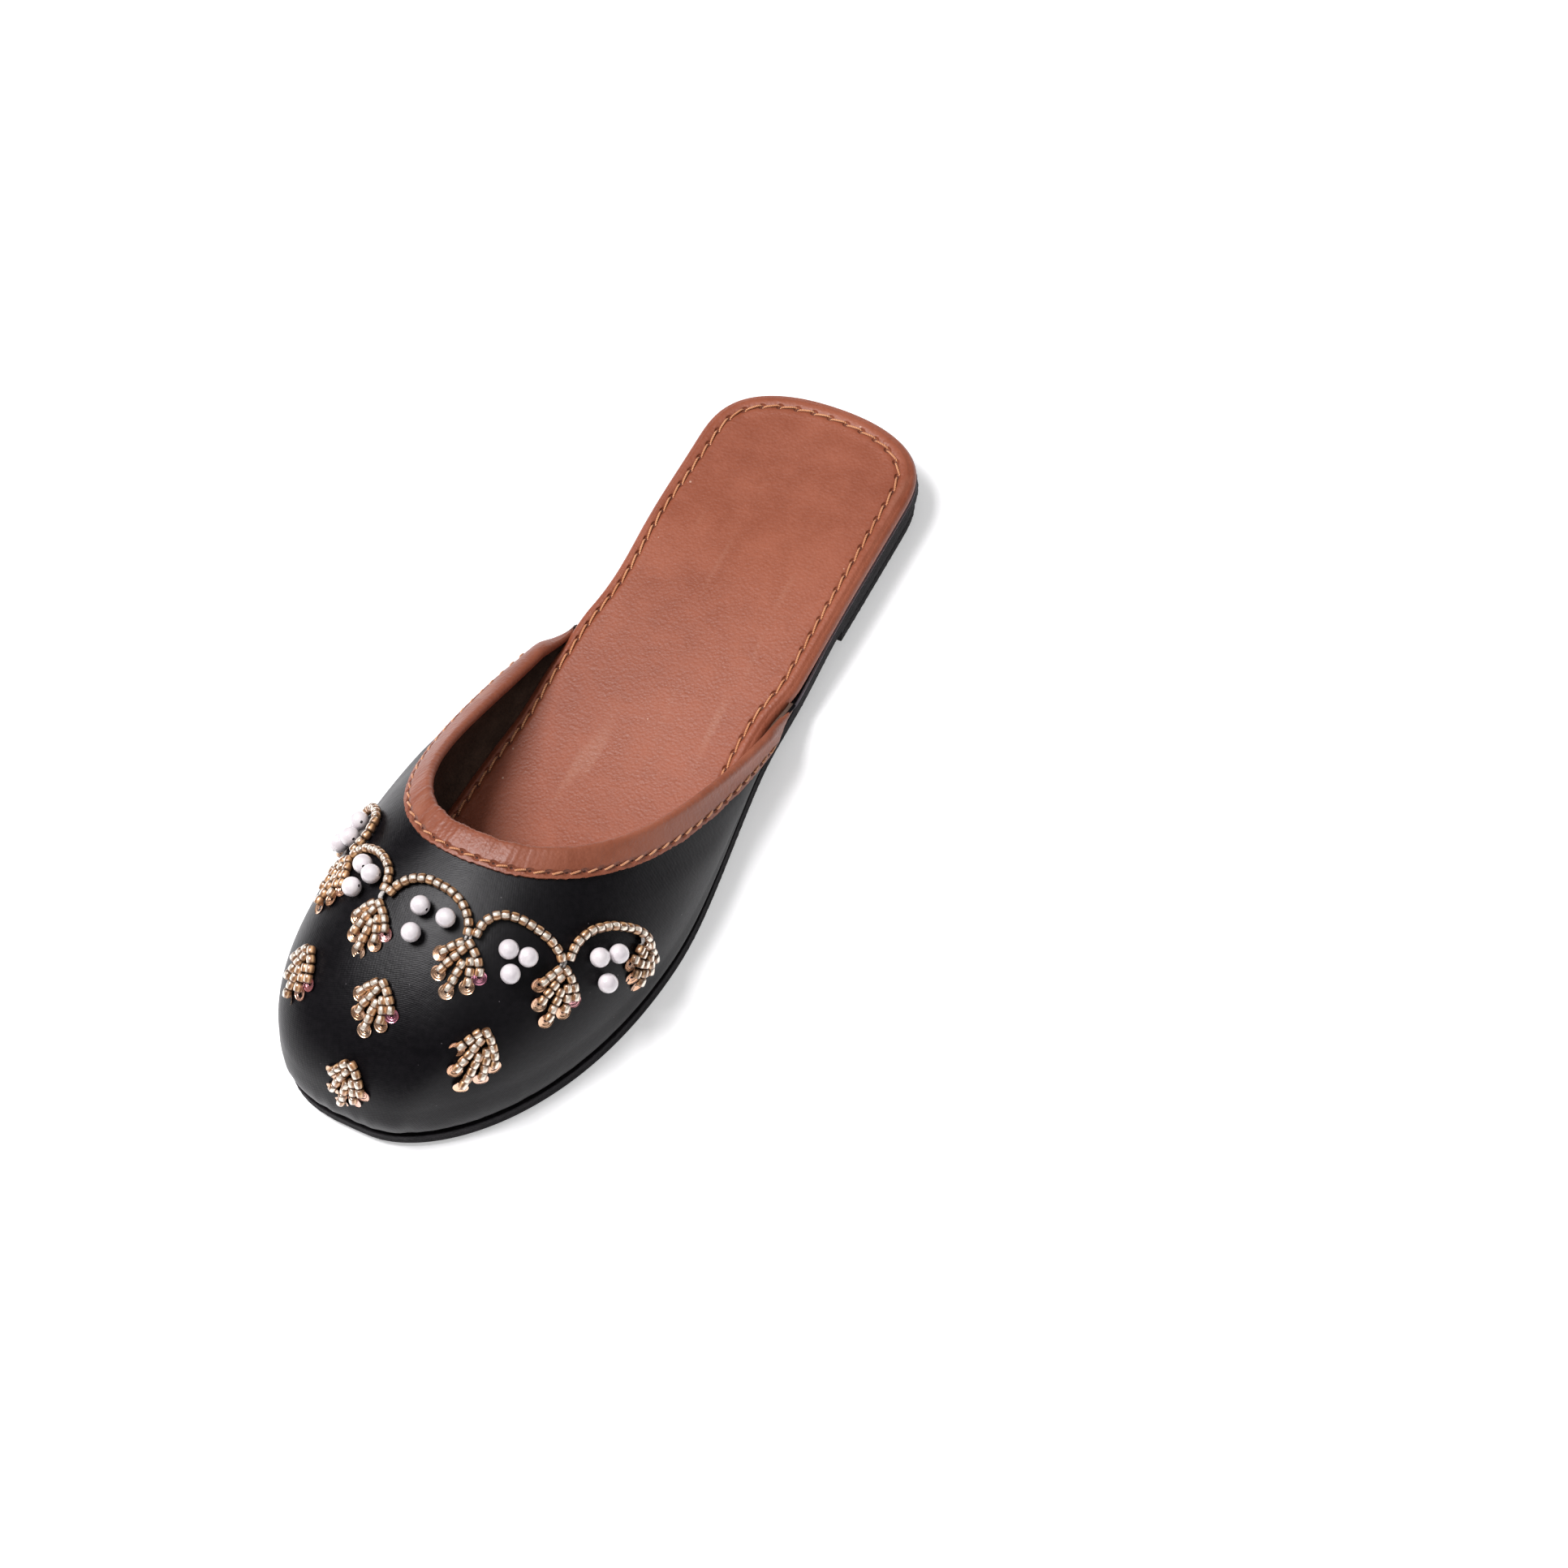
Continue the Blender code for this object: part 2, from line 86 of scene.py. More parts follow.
# Heights and thicknesses
HEEL_LIFT_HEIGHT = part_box("heel_lift")[1].z
OUTSOLE_THICKNESS = 0.0040
INSOLE_THICKNESS = 0.0040
UPPER_WALL = 0.0018
LIP_WALL = 0.0010
TOE_SPRING = 0.0020
THROAT_HEIGHT = 0.0534
REAR_END_RISE = 0.0010
OPENING_HALF_WIDTH = 0.0376
SIDE_BULGE = 0.0076
INNER_BULGE = 0.0015
OUTER_BULGE = 0.0015
FEATHER_LEDGE = 0.0017
REAR_LEDGE = 0.0004
HEEL_TAPER = 0.0012
HEEL_INSET = 0.0008
OUTER_FLANGE = 0.0072
INNER_FLANGE = 0.0065
CLEARANCE = 0.0003

# How the footbed's edge is tucked in at the vamp's rear ends and drawn narrower ahead of them
TUCK_LEAD = 0.006
TUCK_REACH = 0.009
DRAW_LEAD_OUTER = 0.038
DRAW_LEAD_INNER = 0.001
DRAW_RUN = 0.032
FOOTBED_DRAW = 0.0045

# Roundness of the curves
HEEL_POWERS = (3.1, 2.2)
TOE_POWERS_OUTER = (2.04, 1.84)
TOE_POWERS_INNER = (3.48, 3.30)
OPENING_POWER = 2.72
OPENING_CORNER = 2.19
REAR_DROP = 0.0030
REAR_LEAN = 0.0015
TAIL_SHARE = 0.10
WALL_RISE = 0.58
INNER_WALL_RISE = 0.09
THROAT_REACH = 0.44
THROAT_FALL = 0.08
OUTER_FALL = 0.28
BULGE_ONSET = 1.6
OUTER_ONSET = 1.1
REAR_RIB_EASE = 0.010
FEATHER_POINTS = 90
FOOT_UPRIGHT_RISE = 0.2

# Where the sole's curves change: shares of a length, and run-ins in metres
WAIST_AT = 0.40
WAIST_SPREAD = 0.22
SWING_START = 0.28
FLARE_RUN_IN = 0.026
FLARE_HOLD = 0.024
FLARE_RUN_OUT = 0.040
LEDGE_RUN_IN = 0.040

# Stitches: pitch, thread, and distance in from the edge that they follow
FOOTBED_PITCH = 0.0051
FOOTBED_STITCH_INSET = 0.0046
STITCH_SHIFT_OUTER = -0.0003
STITCH_SHIFT_INNER = -0.0011
BINDING_PITCH = 0.0043
BINDING_STITCH_DEPTH = 0.0056
BINDING_RIBS = 760
SEWN_FROM = 0.985
THREAD = 0.00062

# Embroidery
PEARL_DIAMETER = 0.0053
STRING_BEAD = (0.0026, 0.0023)
LEAF_BEAD = (0.0025, 0.0024)
SEQUIN_DIAMETER = 0.0041
SOLVER_STEPS = 6

# Rows: place of each pearl, as its turn and rise
PEARLS = (
    ("outer_end_a", 0.311, 0.526),
    ("outer_end_b", 0.291, 0.488),
    ("outer_end_c", 0.305, 0.398),
    ("outer_a", 0.408, 0.678),
    ("outer_b", 0.386, 0.640),
    ("outer_c", 0.401, 0.600),
    ("middle_a", 0.509, 0.766),
    ("middle_b", 0.484, 0.760),
    ("middle_c", 0.504, 0.696),
    ("inner_a", 0.607, 0.728),
    ("inner_b", 0.584, 0.748),
    ("inner_c", 0.592, 0.680),
    ("inner_end_a", 0.701, 0.614),
    ("inner_end_b", 0.681, 0.606),
    ("inner_end_c", 0.694, 0.502),
)

# Rows: bead string, then turn and rise of its outer end, of its crown and of its inner end
BEAD_STRINGS = (
    ("outer_end", (0.251, 0.322), (0.290, 0.610), (0.336, 0.574)),
    ("outer", (0.350, 0.594), (0.401, 0.766), (0.442, 0.726)),
    ("middle", (0.458, 0.730), (0.506, 0.836), (0.547, 0.768)),
    ("inner", (0.562, 0.762), (0.606, 0.786), (0.646, 0.660)),
    ("inner_end", (0.661, 0.640), (0.707, 0.684), (0.742, 0.366)),
)

# Rows: leaf, turn and rise of its tip, turn and rise that it points to, length and width in mm
LEAVES = (
    ("outer_end", (0.260, 0.424), (0.268, 0.236), 12.5, 9.5),
    ("outer", (0.346, 0.558), (0.359, 0.388), 15.0, 11.5),
    ("middle_outer", (0.454, 0.714), (0.456, 0.578), 14.4, 12.4),
    ("middle_inner", (0.557, 0.724), (0.544, 0.600), 14.0, 10.5),
    ("inner", (0.650, 0.632), (0.626, 0.502), 15.0, 10.5),
    ("inner_end", (0.736, 0.440), (0.726, 0.274), 12.5, 9.5),
    ("vamp_outer", (0.414, 0.438), (0.425, 0.234), 17.8, 11.7),
    ("vamp_centre", (0.509, 0.560), (0.506, 0.422), 14.0, 11.0),
    ("vamp_inner", (0.586, 0.488), (0.579, 0.322), 15.3, 10.5),
    ("toe", (0.507, 0.312), (0.510, 0.120), 15.5, 10.5),
)

# A leaf's strands of beads, each as points in shares of its length and width, with a sequin at the last
STRANDS = (
    ((0.00, 0.00), (0.13, 0.20), (0.27, 0.36), (0.41, 0.47), (0.54, 0.52)),
    ((0.04, -0.05), (0.14, -0.17), (0.27, -0.31), (0.41, -0.43)),
    ((0.13, 0.02), (0.28, -0.07), (0.44, -0.16), (0.60, -0.24), (0.74, -0.30)),
    ((0.36, 0.09), (0.52, 0.07), (0.68, 0.05), (0.84, 0.03), (1.00, 0.00)),
    ((0.26, 0.19), (0.44, 0.27), (0.61, 0.33), (0.78, 0.36)),
)


def smooth(x, start, end):
    """A step from 0 at start to 1 at end, level at both."""
    q = np.clip((np.asarray(x, float) - start) / (end - start), 0.0, 1.0)
    return q * q * (3.0 - 2.0 * q)


def hump(x, middle, width):
    """A bell of height 1 at middle that has faded at two widths from it."""
    return np.exp(-(((x - middle) / width) ** 2))


def ripple(x, length, seed):
    """Uneven waves about a mean length, about -1 to 1: seven sines of seeded lengths and phases."""
    rng = np.random.default_rng(seed)
    waves = 2 * np.pi / (length * rng.uniform(0.6, 1.7, 7))
    phases = rng.uniform(0, 2 * np.pi, 7)
    return np.sin(np.asarray(x, float)[..., None] * waves + phases).sum(-1) / 3.2


# The last's shape, as in the frame


def half_width(station, side):
    """Half width of the tread: rounded heel, waist, ball, and a superellipse to the toe."""
    s = np.asarray(station, float)
    heel, waist = HEEL_WIDTH / 2, WAIST_WIDTH / 2
    if side == OUTER:
        ball, ball_station, toe_powers = BALL_OUTER, BALL_STATION_OUTER, TOE_POWERS_OUTER
        widening = WIDENING_OUTER
    else:
        ball, ball_station, toe_powers = BALL_INNER, BALL_STATION_INNER, TOE_POWERS_INNER
        widening = HEEL_ROUND
    back = np.clip((HEEL_ROUND - s) / HEEL_ROUND, 0.0, 1.0)
    rounded = heel * (1 - back ** HEEL_POWERS[0]) ** (1 / HEEL_POWERS[1])
    q = np.clip((s - HEEL_ROUND) / (ball_station - HEEL_ROUND), 0.0, 1.0)
    waist_station = HEEL_ROUND + WAIST_AT * (ball_station - HEEL_ROUND)
    dip = waist - heel - (ball - heel) * smooth(waist_station, widening, ball_station)
    side_line = heel + (ball - heel) * smooth(s, widening, ball_station)
    side_line = side_line + dip * hump(q, WAIST_AT, WAIST_SPREAD) * np.sin(np.pi * q)
    front = np.clip((s - ball_station) / (LENGTH - ball_station), 0.0, 1.0)
    toe = ball * (1 - front ** toe_powers[0]) ** (1 / toe_powers[1])
    return np.where(s < HEEL_ROUND, rounded, np.where(s < ball_station, side_line, toe))


def centre_line(station):
    """How far the centre line lies to +X: the toe swings to the inner side."""
    q = np.clip((np.asarray(station, float) / LENGTH - SWING_START) / (1 - SWING_START), 0.0, 1.0)
    return -(TOE_SWING * q**2 + WAIST_SWING * np.sin(np.pi * q) ** 2)


def underside(station):
    """Height of the outsole's lower face: heel seat, arch, flat tread and toe spring."""
    s = np.asarray(station, float)
    arch = (HEEL_LIFT_HEIGHT + CLEARANCE) * (1 - smooth(s, HEEL_SEAT_END, TREAD_START))
    front = np.clip((s - SPRING_START) / (LENGTH - SPRING_START), 0.0, 1.0)
    return arch + TOE_SPRING * front**2


def outsole_top(station):
    return underside(station) + OUTSOLE_THICKNESS


def insole_bottom(station):
    return outsole_top(station) + CLEARANCE


def insole_top(station):
    return insole_bottom(station) + INSOLE_THICKNESS


def rear_flare(station):
    """The sole is a little wider where the vamp's rear ends stand on it."""
    rear = smooth(station, VAMP_REAR - FLARE_RUN_IN, VAMP_REAR)
    flare_end = VAMP_REAR + FLARE_HOLD
    return REAR_FLARE * rear * (1 - smooth(station, flare_end, flare_end + FLARE_RUN_OUT))


def feather_inset(station):
    """Width of outsole left uncovered outside the upper."""
    run_in = smooth(station, VAMP_REAR, VAMP_REAR + LEDGE_RUN_IN)
    return REAR_LEDGE + (FEATHER_LEDGE - REAR_LEDGE) * run_in - rear_flare(station)


def insole_inset(station, side):
    """Flush with the outsole at the heel, then over the vamp's rear ends and narrower ahead of them."""
    inside = feather_inset(station) + UPPER_WALL + 2 * CLEARANCE
    tuck = inside * smooth(station, VAMP_REAR - TUCK_LEAD, VAMP_REAR + TUCK_REACH)
    drawn = VAMP_REAR + np.where(side == OUTER, DRAW_LEAD_OUTER, DRAW_LEAD_INNER)
    return tuck + FOOTBED_DRAW * smooth(station, drawn, drawn + DRAW_RUN)


def side_points(side, stations, inset):
    """Points of the outline on one side, moved in along its own normal by inset."""
    x = half_width(stations, side)
    slope = np.gradient(x, stations)
    across = 1 / np.sqrt(1 + slope**2)
    along = -slope * across
    x = np.maximum(x - inset * across, 0.0)
    s = stations - inset * along
    return np.stack([side * x + centre_line(s), s], axis=-1)


def outline(stations, inset, back):
    """Points round a sole's outline, up the outer side and back down the inner, moved in by inset.

    inset is a function of station and side. back is the slice of stations that the inner side
    has, without the ends that it shares with the outer side.
    """
    outer, inner = (side_points(side, stations, inset(stations, side)) for side in (OUTER, INNER))
    return np.concatenate([outer, inner[back][::-1]])


def to_world(across, station, height):
    return np.stack([across, REST_STATION - station, height + 0.0 * station], axis=-1)


def feather_line(turn):
    """Where each rib starts: equal lengths along the upper's foot, on top of the outsole."""
    stations = VAMP_REAR + (LENGTH - VAMP_REAR) * np.sin(np.linspace(0, math.pi / 2, FEATHER_POINTS))
    line = outline(stations, lambda s, side: feather_inset(s), slice(None, -1))
    steps = np.hypot(*np.diff(line, axis=0).T)
    share = np.concatenate([[0.0], np.cumsum(steps)]) / steps.sum()
    station = np.interp(turn, share, line[:, 1])
    return to_world(np.interp(turn, share, line[:, 0]), station, insole_bottom(station))


def topline(turn):
    """The edge of the opening: a superellipse in plan that climbs from the rear ends to the throat.

    At each rear end it dips and leans in, so that the binding's tail runs under the footbed's edge.
    """
    nearest = np.minimum(turn, 1 - turn)
    share = nearest**2 / (nearest + REAR_RIB_EASE) * (1 + 2 * REAR_RIB_EASE)
    angle = np.where(turn < 0.5, share - 0.5, 0.5 - share) * math.pi
    cosine, sine = np.abs(np.cos(angle)), np.abs(np.sin(angle))
    side = -np.sign(angle)
    station = VAMP_REAR + (THROAT_STATION - VAMP_REAR) * cosine ** (2 / OPENING_POWER)
    outer_half = half_width(VAMP_REAR, OUTER) + REAR_SPREAD
    rear_half = np.where(side > 0, outer_half, half_width(VAMP_REAR, INNER))
    rear_half = rear_half + REAR_FLARE - REAR_LEDGE / 2
    corner = np.abs(np.sin(2 * angle)) ** OPENING_CORNER
    across = rear_half * sine ** (2 / OPENING_POWER) + (OPENING_HALF_WIDTH - rear_half) * corner
    rear_height = insole_top(VAMP_REAR) + REAR_END_RISE
    height = rear_height + (THROAT_HEIGHT - rear_height) * cosine
    tail = 1 - smooth(cosine, 0.0, TAIL_SHARE)
    across = side * (across - REAR_LEAN * tail) + centre_line(station)
    return to_world(across, station, height - REAR_DROP * tail)


def unit(vectors):
    return vectors / np.linalg.norm(vectors, axis=-1, keepdims=True)


def outward_at(turn):
    """Level direction out of the shoe along the feather line."""
    along = feather_line(np.minimum(turn + MM, 1)) - feather_line(np.maximum(turn - MM, 0))
    return unit(np.cross(UP, along) * (1 - UP))


def upper_point(turn, rise):
    """The upper's outer face: each rib is a cubic Bezier from the feather line to the topline."""
    turn, rise = np.broadcast_arrays(np.asarray(turn, float), np.asarray(rise, float))
    foot, top = feather_line(turn), topline(turn)
    reach = (top - foot) * (1 - UP)
    height = (top - foot)[..., 2:]
    inner_share = -np.cos(np.pi * turn)[..., None]
    outer_share = np.clip(-inner_share, 0.0, 1.0) ** 2
    full_height = THROAT_HEIGHT - OUTSOLE_THICKNESS
    onset = np.clip((BULGE_ONSET + OUTER_ONSET * outer_share) * height / full_height, 0.0, 1.0)
    bulge = (SIDE_BULGE + INNER_BULGE * inner_share + OUTER_BULGE * outer_share) * onset
    low = foot + UP * height * (WALL_RISE + INNER_WALL_RISE * inner_share) + outward_at(turn) * bulge
    fall = THROAT_FALL + OUTER_FALL * outer_share
    high = top - reach * THROAT_REACH - UP * height * fall
    v = rise[..., None]
    return (1 - v) ** 3 * foot + 3 * (1 - v) ** 2 * v * low + 3 * (1 - v) * v**2 * high + v**3 * top


def upper_normal(turn, rise):
    """Outward direction of the upper, level at the feather line so that its foot is flat."""
    turn, rise = np.broadcast_arrays(np.asarray(turn, float), np.asarray(rise, float))
    turn_step = upper_point(np.clip(turn + MM, 0, 1), rise) - upper_point(np.clip(turn - MM, 0, 1), rise)
    rise_step = upper_point(turn, np.clip(rise + MM, 0, 1)) - upper_point(turn, np.clip(rise - MM, 0, 1))
    normal = unit(np.cross(rise_step, turn_step))
    normal[..., 2] *= np.clip(rise / FOOT_UPRIGHT_RISE, 0.0, 1.0)
    return unit(normal)


def rise_at_depth(turn, depth):
    """The rise on each rib at lengths down from the topline. turn has T values, depth is T by D."""
    fine = np.linspace(1, 0, 61)
    ribs = upper_point(turn[:, None], fine[None, :])
    run = np.linalg.norm(np.diff(ribs, axis=1), axis=-1).cumsum(axis=1)
    run = np.concatenate([np.zeros((len(turn), 1)), run], axis=1)
    below = np.clip((run[:, None, :] <= depth[:, :, None]).sum(-1) - 1, 0, len(fine) - 2)
    start, end = np.take_along_axis(run, below, 1), np.take_along_axis(run, below + 1, 1)
    return fine[below] + (fine[below + 1] - fine[below]) * (depth - start) / (end - start)


def run_along(points):
    """Length along a row of points up to each of them."""
    steps = np.linalg.norm(np.diff(points, axis=0), axis=-1)
    return np.concatenate([[0.0], np.cumsum(steps)])


def interpolated(where, known, values):
    """Rows of values at places between those at which they are known."""
    return np.stack([np.interp(where, known, column) for column in values.T], axis=-1)


# Shader maths


class Socket:
    """An output of a shader node. Arithmetic on it adds Math nodes to its finish."""

    def __init__(self, finish, socket):
        self.finish = finish
        self.socket = socket

    def math(self, operation, *values):
        return self.finish.node("ShaderNodeMath", {"operation": operation}, dict(enumerate(values)))

    def __add__(self, other):
        return self.math("ADD", self, other)

    def __mul__(self, other):
        return self.math("MULTIPLY", self, other)

    def __sub__(self, other):
        return self.math("SUBTRACT", self, other)

    def __rsub__(self, other):
        return self.math("SUBTRACT", other, self)

    __radd__ = __add__
    __rmul__ = __mul__

    def wave(self, length):
        """1 at whole multiples of length and -1 half way between."""
        return self.math("COSINE", self * (2 * math.pi / length))

    def step(self, start, end):
        """0 below start, 1 above end, smooth between. start may be above end."""
        values = {"Value": self, "From Min": start, "From Max": end}
        return self.finish.node("ShaderNodeMapRange", {"interpolation_type": "SMOOTHSTEP"}, values)


class Finish:
    """A material on one Principled shader, built up by node() and its short forms."""

    def __init__(self, name, **constants):
        self.material = bpy.data.materials.new(name)
        self.material.use_nodes = True
        self.tree = self.material.node_tree
        self.shader = self.tree.nodes["Principled BSDF"]
        for socket, value in constants.items():
            self.shader.inputs[socket.replace("_", " ")].default_value = value

    def node(self, kind, settings=None, inputs=None, output=0):
        """Adds a node of a type, with its settings, then the values or links of its sockets."""
        made = self.tree.nodes.new(kind)
        for name, value in (settings or {}).items():
            setattr(made, name, value)
        for name, value in (inputs or {}).items():
            if isinstance(value, Socket):
                self.tree.links.new(value.socket, made.inputs[name])
            else:
                made.inputs[name].default_value = value
        return Socket(self, made.outputs[output])

    def place(self):
        """Object coordinates, in metres."""
        return self.node("ShaderNodeTexCoord", output="Object")

    def uv(self):
        """The piece's own map, as two sockets."""
        split = self.node("ShaderNodeSeparateXYZ", inputs={0: self.node("ShaderNodeUVMap")})
        nodes = split.socket.node
        return Socket(self, nodes.outputs[0]), Socket(self, nodes.outputs[1])

    def noise(self, size, detail=2.0, rough=0.5, at=None, stretch=(1, 1, 1)):
        """Noise from about 0.3 to 0.7 with features of a size in metres."""
        vector = at or self.place()
        if stretch != (1, 1, 1):
            vector = self.node("ShaderNodeMapping", inputs={"Vector": vector, "Scale": stretch})
        values = {"Vector": vector, "Scale": 1 / size, "Detail": detail, "Roughness": rough}
        return self.node("ShaderNodeTexNoise", inputs=values)

    def cells(self, size, feature="F1"):
        """Distance to the nearest of scattered points a size apart, from 0 up."""
        values = {"Vector": self.place(), "Scale": 1 / size}
        return self.node("ShaderNodeTexVoronoi", {"feature": feature}, values)

    def mix(self, share, first, second, blend="MIX"):
        """A colour between two, each a socket or three numbers."""
        a, b = (c if isinstance(c, Socket) else (*c, 1.0) for c in (first, second))
        settings = {"data_type": "RGBA", "blend_type": blend}
        return self.node("ShaderNodeMix", settings, {0: share, 6: a, 7: b}, output=2)

    def attribute(self, name):
        return self.node("ShaderNodeAttribute", {"attribute_name": name}, output="Fac")

    def bump(self, height, depth, under=None):
        """A normal from a height between 0 and 1 that stands for a depth in metres."""
        values = {"Height": height, "Distance": depth, "Strength": 1.0}
        if under:
            values["Normal"] = under
        return self.node("ShaderNodeBump", inputs=values)

    def drive(self, **sockets):
        for name, socket in sockets.items():
            self.tree.links.new(socket.socket, self.shader.inputs[name.replace("_", " ")])


# Half the length and half the width of a needle hole, in mm
NEEDLE_HOLE = (0.42, 0.34)


def leather(name, light, dark, pitch, line, gloss):
    """Smooth tanned leather: cloudy colour, fine grain, pale flecks and streaks, needle holes.

    The piece's map gives the stitch count in u and millimetres from its edge in v. Holes lie
    at whole counts on the stitch line, with the leather pulled down round each; painted shade
    darkens each hole and the stitch groove.
    """
    skin = Finish(name, Roughness=gloss, Specular_IOR_Level=0.38, Sheen_Weight=0.03, Sheen_Roughness=0.5)
    count, inset = skin.uv()
    cloud = skin.noise(0.045, 3, 0.55)
    mottle = skin.noise(0.0065, 3, 0.6)
    grain = skin.noise(0.0011, 3, 0.6)
    pebble = skin.cells(0.00085)
    tone = (cloud * 0.9 + mottle * 0.45 + grain * 0.25 - 0.30).step(0.15, 0.85)
    fleck = skin.cells(0.0085).step(0.045, 0.030) * skin.noise(0.017, 0).step(0.52, 0.60)
    streak = skin.noise(0.009, 2, 0.6, stretch=(1.0, 0.16, 1.0)).step(0.60, 0.74)
    along = count.math("FRACT", count + 0.5) - 0.5
    across = inset - line / MM
    long, wide = NEEDLE_HOLE
    hole_at = (along * along) * (pitch / MM / long) ** 2 + (across * across) * (1 / wide) ** 2
    # Painted shade inside each needle hole
    hole = hole_at.step(1.10, 0.45)
    pull = hole_at.step(9.0, 1.0)
    # Painted shade along the stitch groove
    groove = (across * across).step(0.9, 0.05)
    colour = skin.mix(tone, dark, light)
    colour = skin.mix(streak * 0.16, colour, (0.55, 0.30, 0.21))
    colour = skin.mix(fleck * 0.55, colour, (0.75, 0.52, 0.40))
    # Painted shade in the stitch groove, then in the needle holes
    colour = skin.mix(groove * 0.22, colour, tuple(0.45 * c for c in dark))
    colour = skin.mix(hole * 0.85, colour, (0.045, 0.012, 0.007))
    relief = skin.bump(pebble, 0.00007)
    relief = skin.bump(grain, 0.00010, relief)
    relief = skin.bump(1 - pull * 0.8 - hole * 0.2, 0.00045, relief)
    skin.drive(Base_Color=colour, Normal=relief, Roughness=mottle * 0.30 + grain * 0.22 + (gloss - 0.26))
    return skin.material


def satin(name):
    """Black satin: a tight diagonal weave with a silky sheen, a few specks of lint."""
    cloth = Finish(name, Specular_IOR_Level=0.20, Sheen_Weight=0.01, Sheen_Roughness=0.35)
    cloth.shader.inputs["Sheen Tint"].default_value = (0.80, 0.76, 0.86, 1.0)
    across, along = cloth.uv()
    thread = 0.00058 / MM
    twill = (across * 0.52 + along).wave(thread)
    cross = (across - along * 0.35).wave(thread * 1.7)
    slub = cloth.noise(0.0016, 2, 0.6)
    cloud = cloth.noise(0.016, 2, 0.5)
    lint = cloth.cells(0.0042).step(0.040, 0.022) * cloth.noise(0.011, 0).step(0.50, 0.56)
    colour = cloth.mix(slub.step(0.35, 0.70), (0.0018, 0.0016, 0.0024), (0.0045, 0.0038, 0.0050))
    colour = cloth.mix((twill * 0.5 + 0.5) * 0.35, colour, (0.008, 0.0068, 0.0085))
    colour = cloth.mix(lint * 0.45, colour, (0.34, 0.31, 0.33))
    weave = cloth.bump(twill * 0.35 + cross * 0.15 + 0.5, 0.000022)
    weave = cloth.bump(slub, 0.00006, weave)
    cloth.drive(Base_Color=colour, Normal=weave, Roughness=cloud * 0.12 + slub * 0.08 + 0.27)
    return cloth.material


def suede(name, light, dark):
    """Brushed split leather: short nap in two tones and no gloss."""
    nap = Finish(name, Specular_IOR_Level=0.25, Sheen_Weight=0.12, Sheen_Roughness=0.6)
    brushed = nap.noise(0.0045, 4, 0.65, stretch=(1.0, 0.55, 1.0))
    fibre = nap.noise(0.0006, 3, 0.7)
    colour = nap.mix((brushed * 0.8 + fibre * 0.5 - 0.15).step(0.25, 0.80), dark, light)
    nap.drive(Base_Color=colour, Normal=nap.bump(fibre, 0.00022), Roughness=fibre * 0.2 + 0.80)
    return nap.material


def sole_rubber(name, rim):
    """Black rubber with a buffed, dusty cut edge. rim is the v past which a pale line is painted along the
    top edge at the heel.
    """
    rubber = Finish(name, Specular_IOR_Level=0.18)
    _, height = rubber.uv()
    along = rubber.node("ShaderNodeSeparateXYZ", inputs={0: rubber.place()}, output=1)
    # A pale line along the top edge at the heel, in colour only
    pale_rim_line = height.step(rim, rim + 0.02) * along.step(-0.064, -0.054)
    dust = rubber.noise(0.0032, 4, 0.7)
    crumb = rubber.noise(0.0007, 3, 0.7)
    pits = rubber.cells(0.0011)
    dusty = (dust * 0.7 + crumb * 0.6 - 0.15).step(0.35, 0.85)
    colour = rubber.mix(dusty, (0.0050, 0.0045, 0.0055), (0.024, 0.019, 0.023))
    speck = crumb.step(0.66, 0.74)
    colour = rubber.mix(speck * 0.30, colour, (0.07, 0.06, 0.065))
    colour = rubber.mix(pale_rim_line * 0.7, colour, (0.36, 0.32, 0.36))
    relief = rubber.bump(pits, 0.00012)
    relief = rubber.bump(crumb * 0.6 + dust * 0.4, 0.00040, relief)
    rubber.drive(Base_Color=colour, Normal=relief, Roughness=crumb * 0.25 + 0.62)
    return rubber.material


def thread(name, light, dark):
    """Waxed sewing thread: two plies laid round each other, with fine fibres."""
    yarn = Finish(name, Specular_IOR_Level=0.5, Sheen_Weight=0.2)
    around, along = yarn.uv()
    ply = (around + along * 5.0).wave(0.5)
    fibre = yarn.noise(0.00025, 2, 0.6)
    shade = yarn.noise(0.012, 2, 0.5)
    colour = yarn.mix((ply * 0.35 + fibre * 0.4 + shade * 0.9 - 0.20).step(0.05, 0.85), dark, light)
    yarn.drive(Base_Color=colour, Normal=yarn.bump(ply * 0.5 + 0.5, 0.00012), Roughness=fibre * 0.2 + 0.38)
    return yarn.material


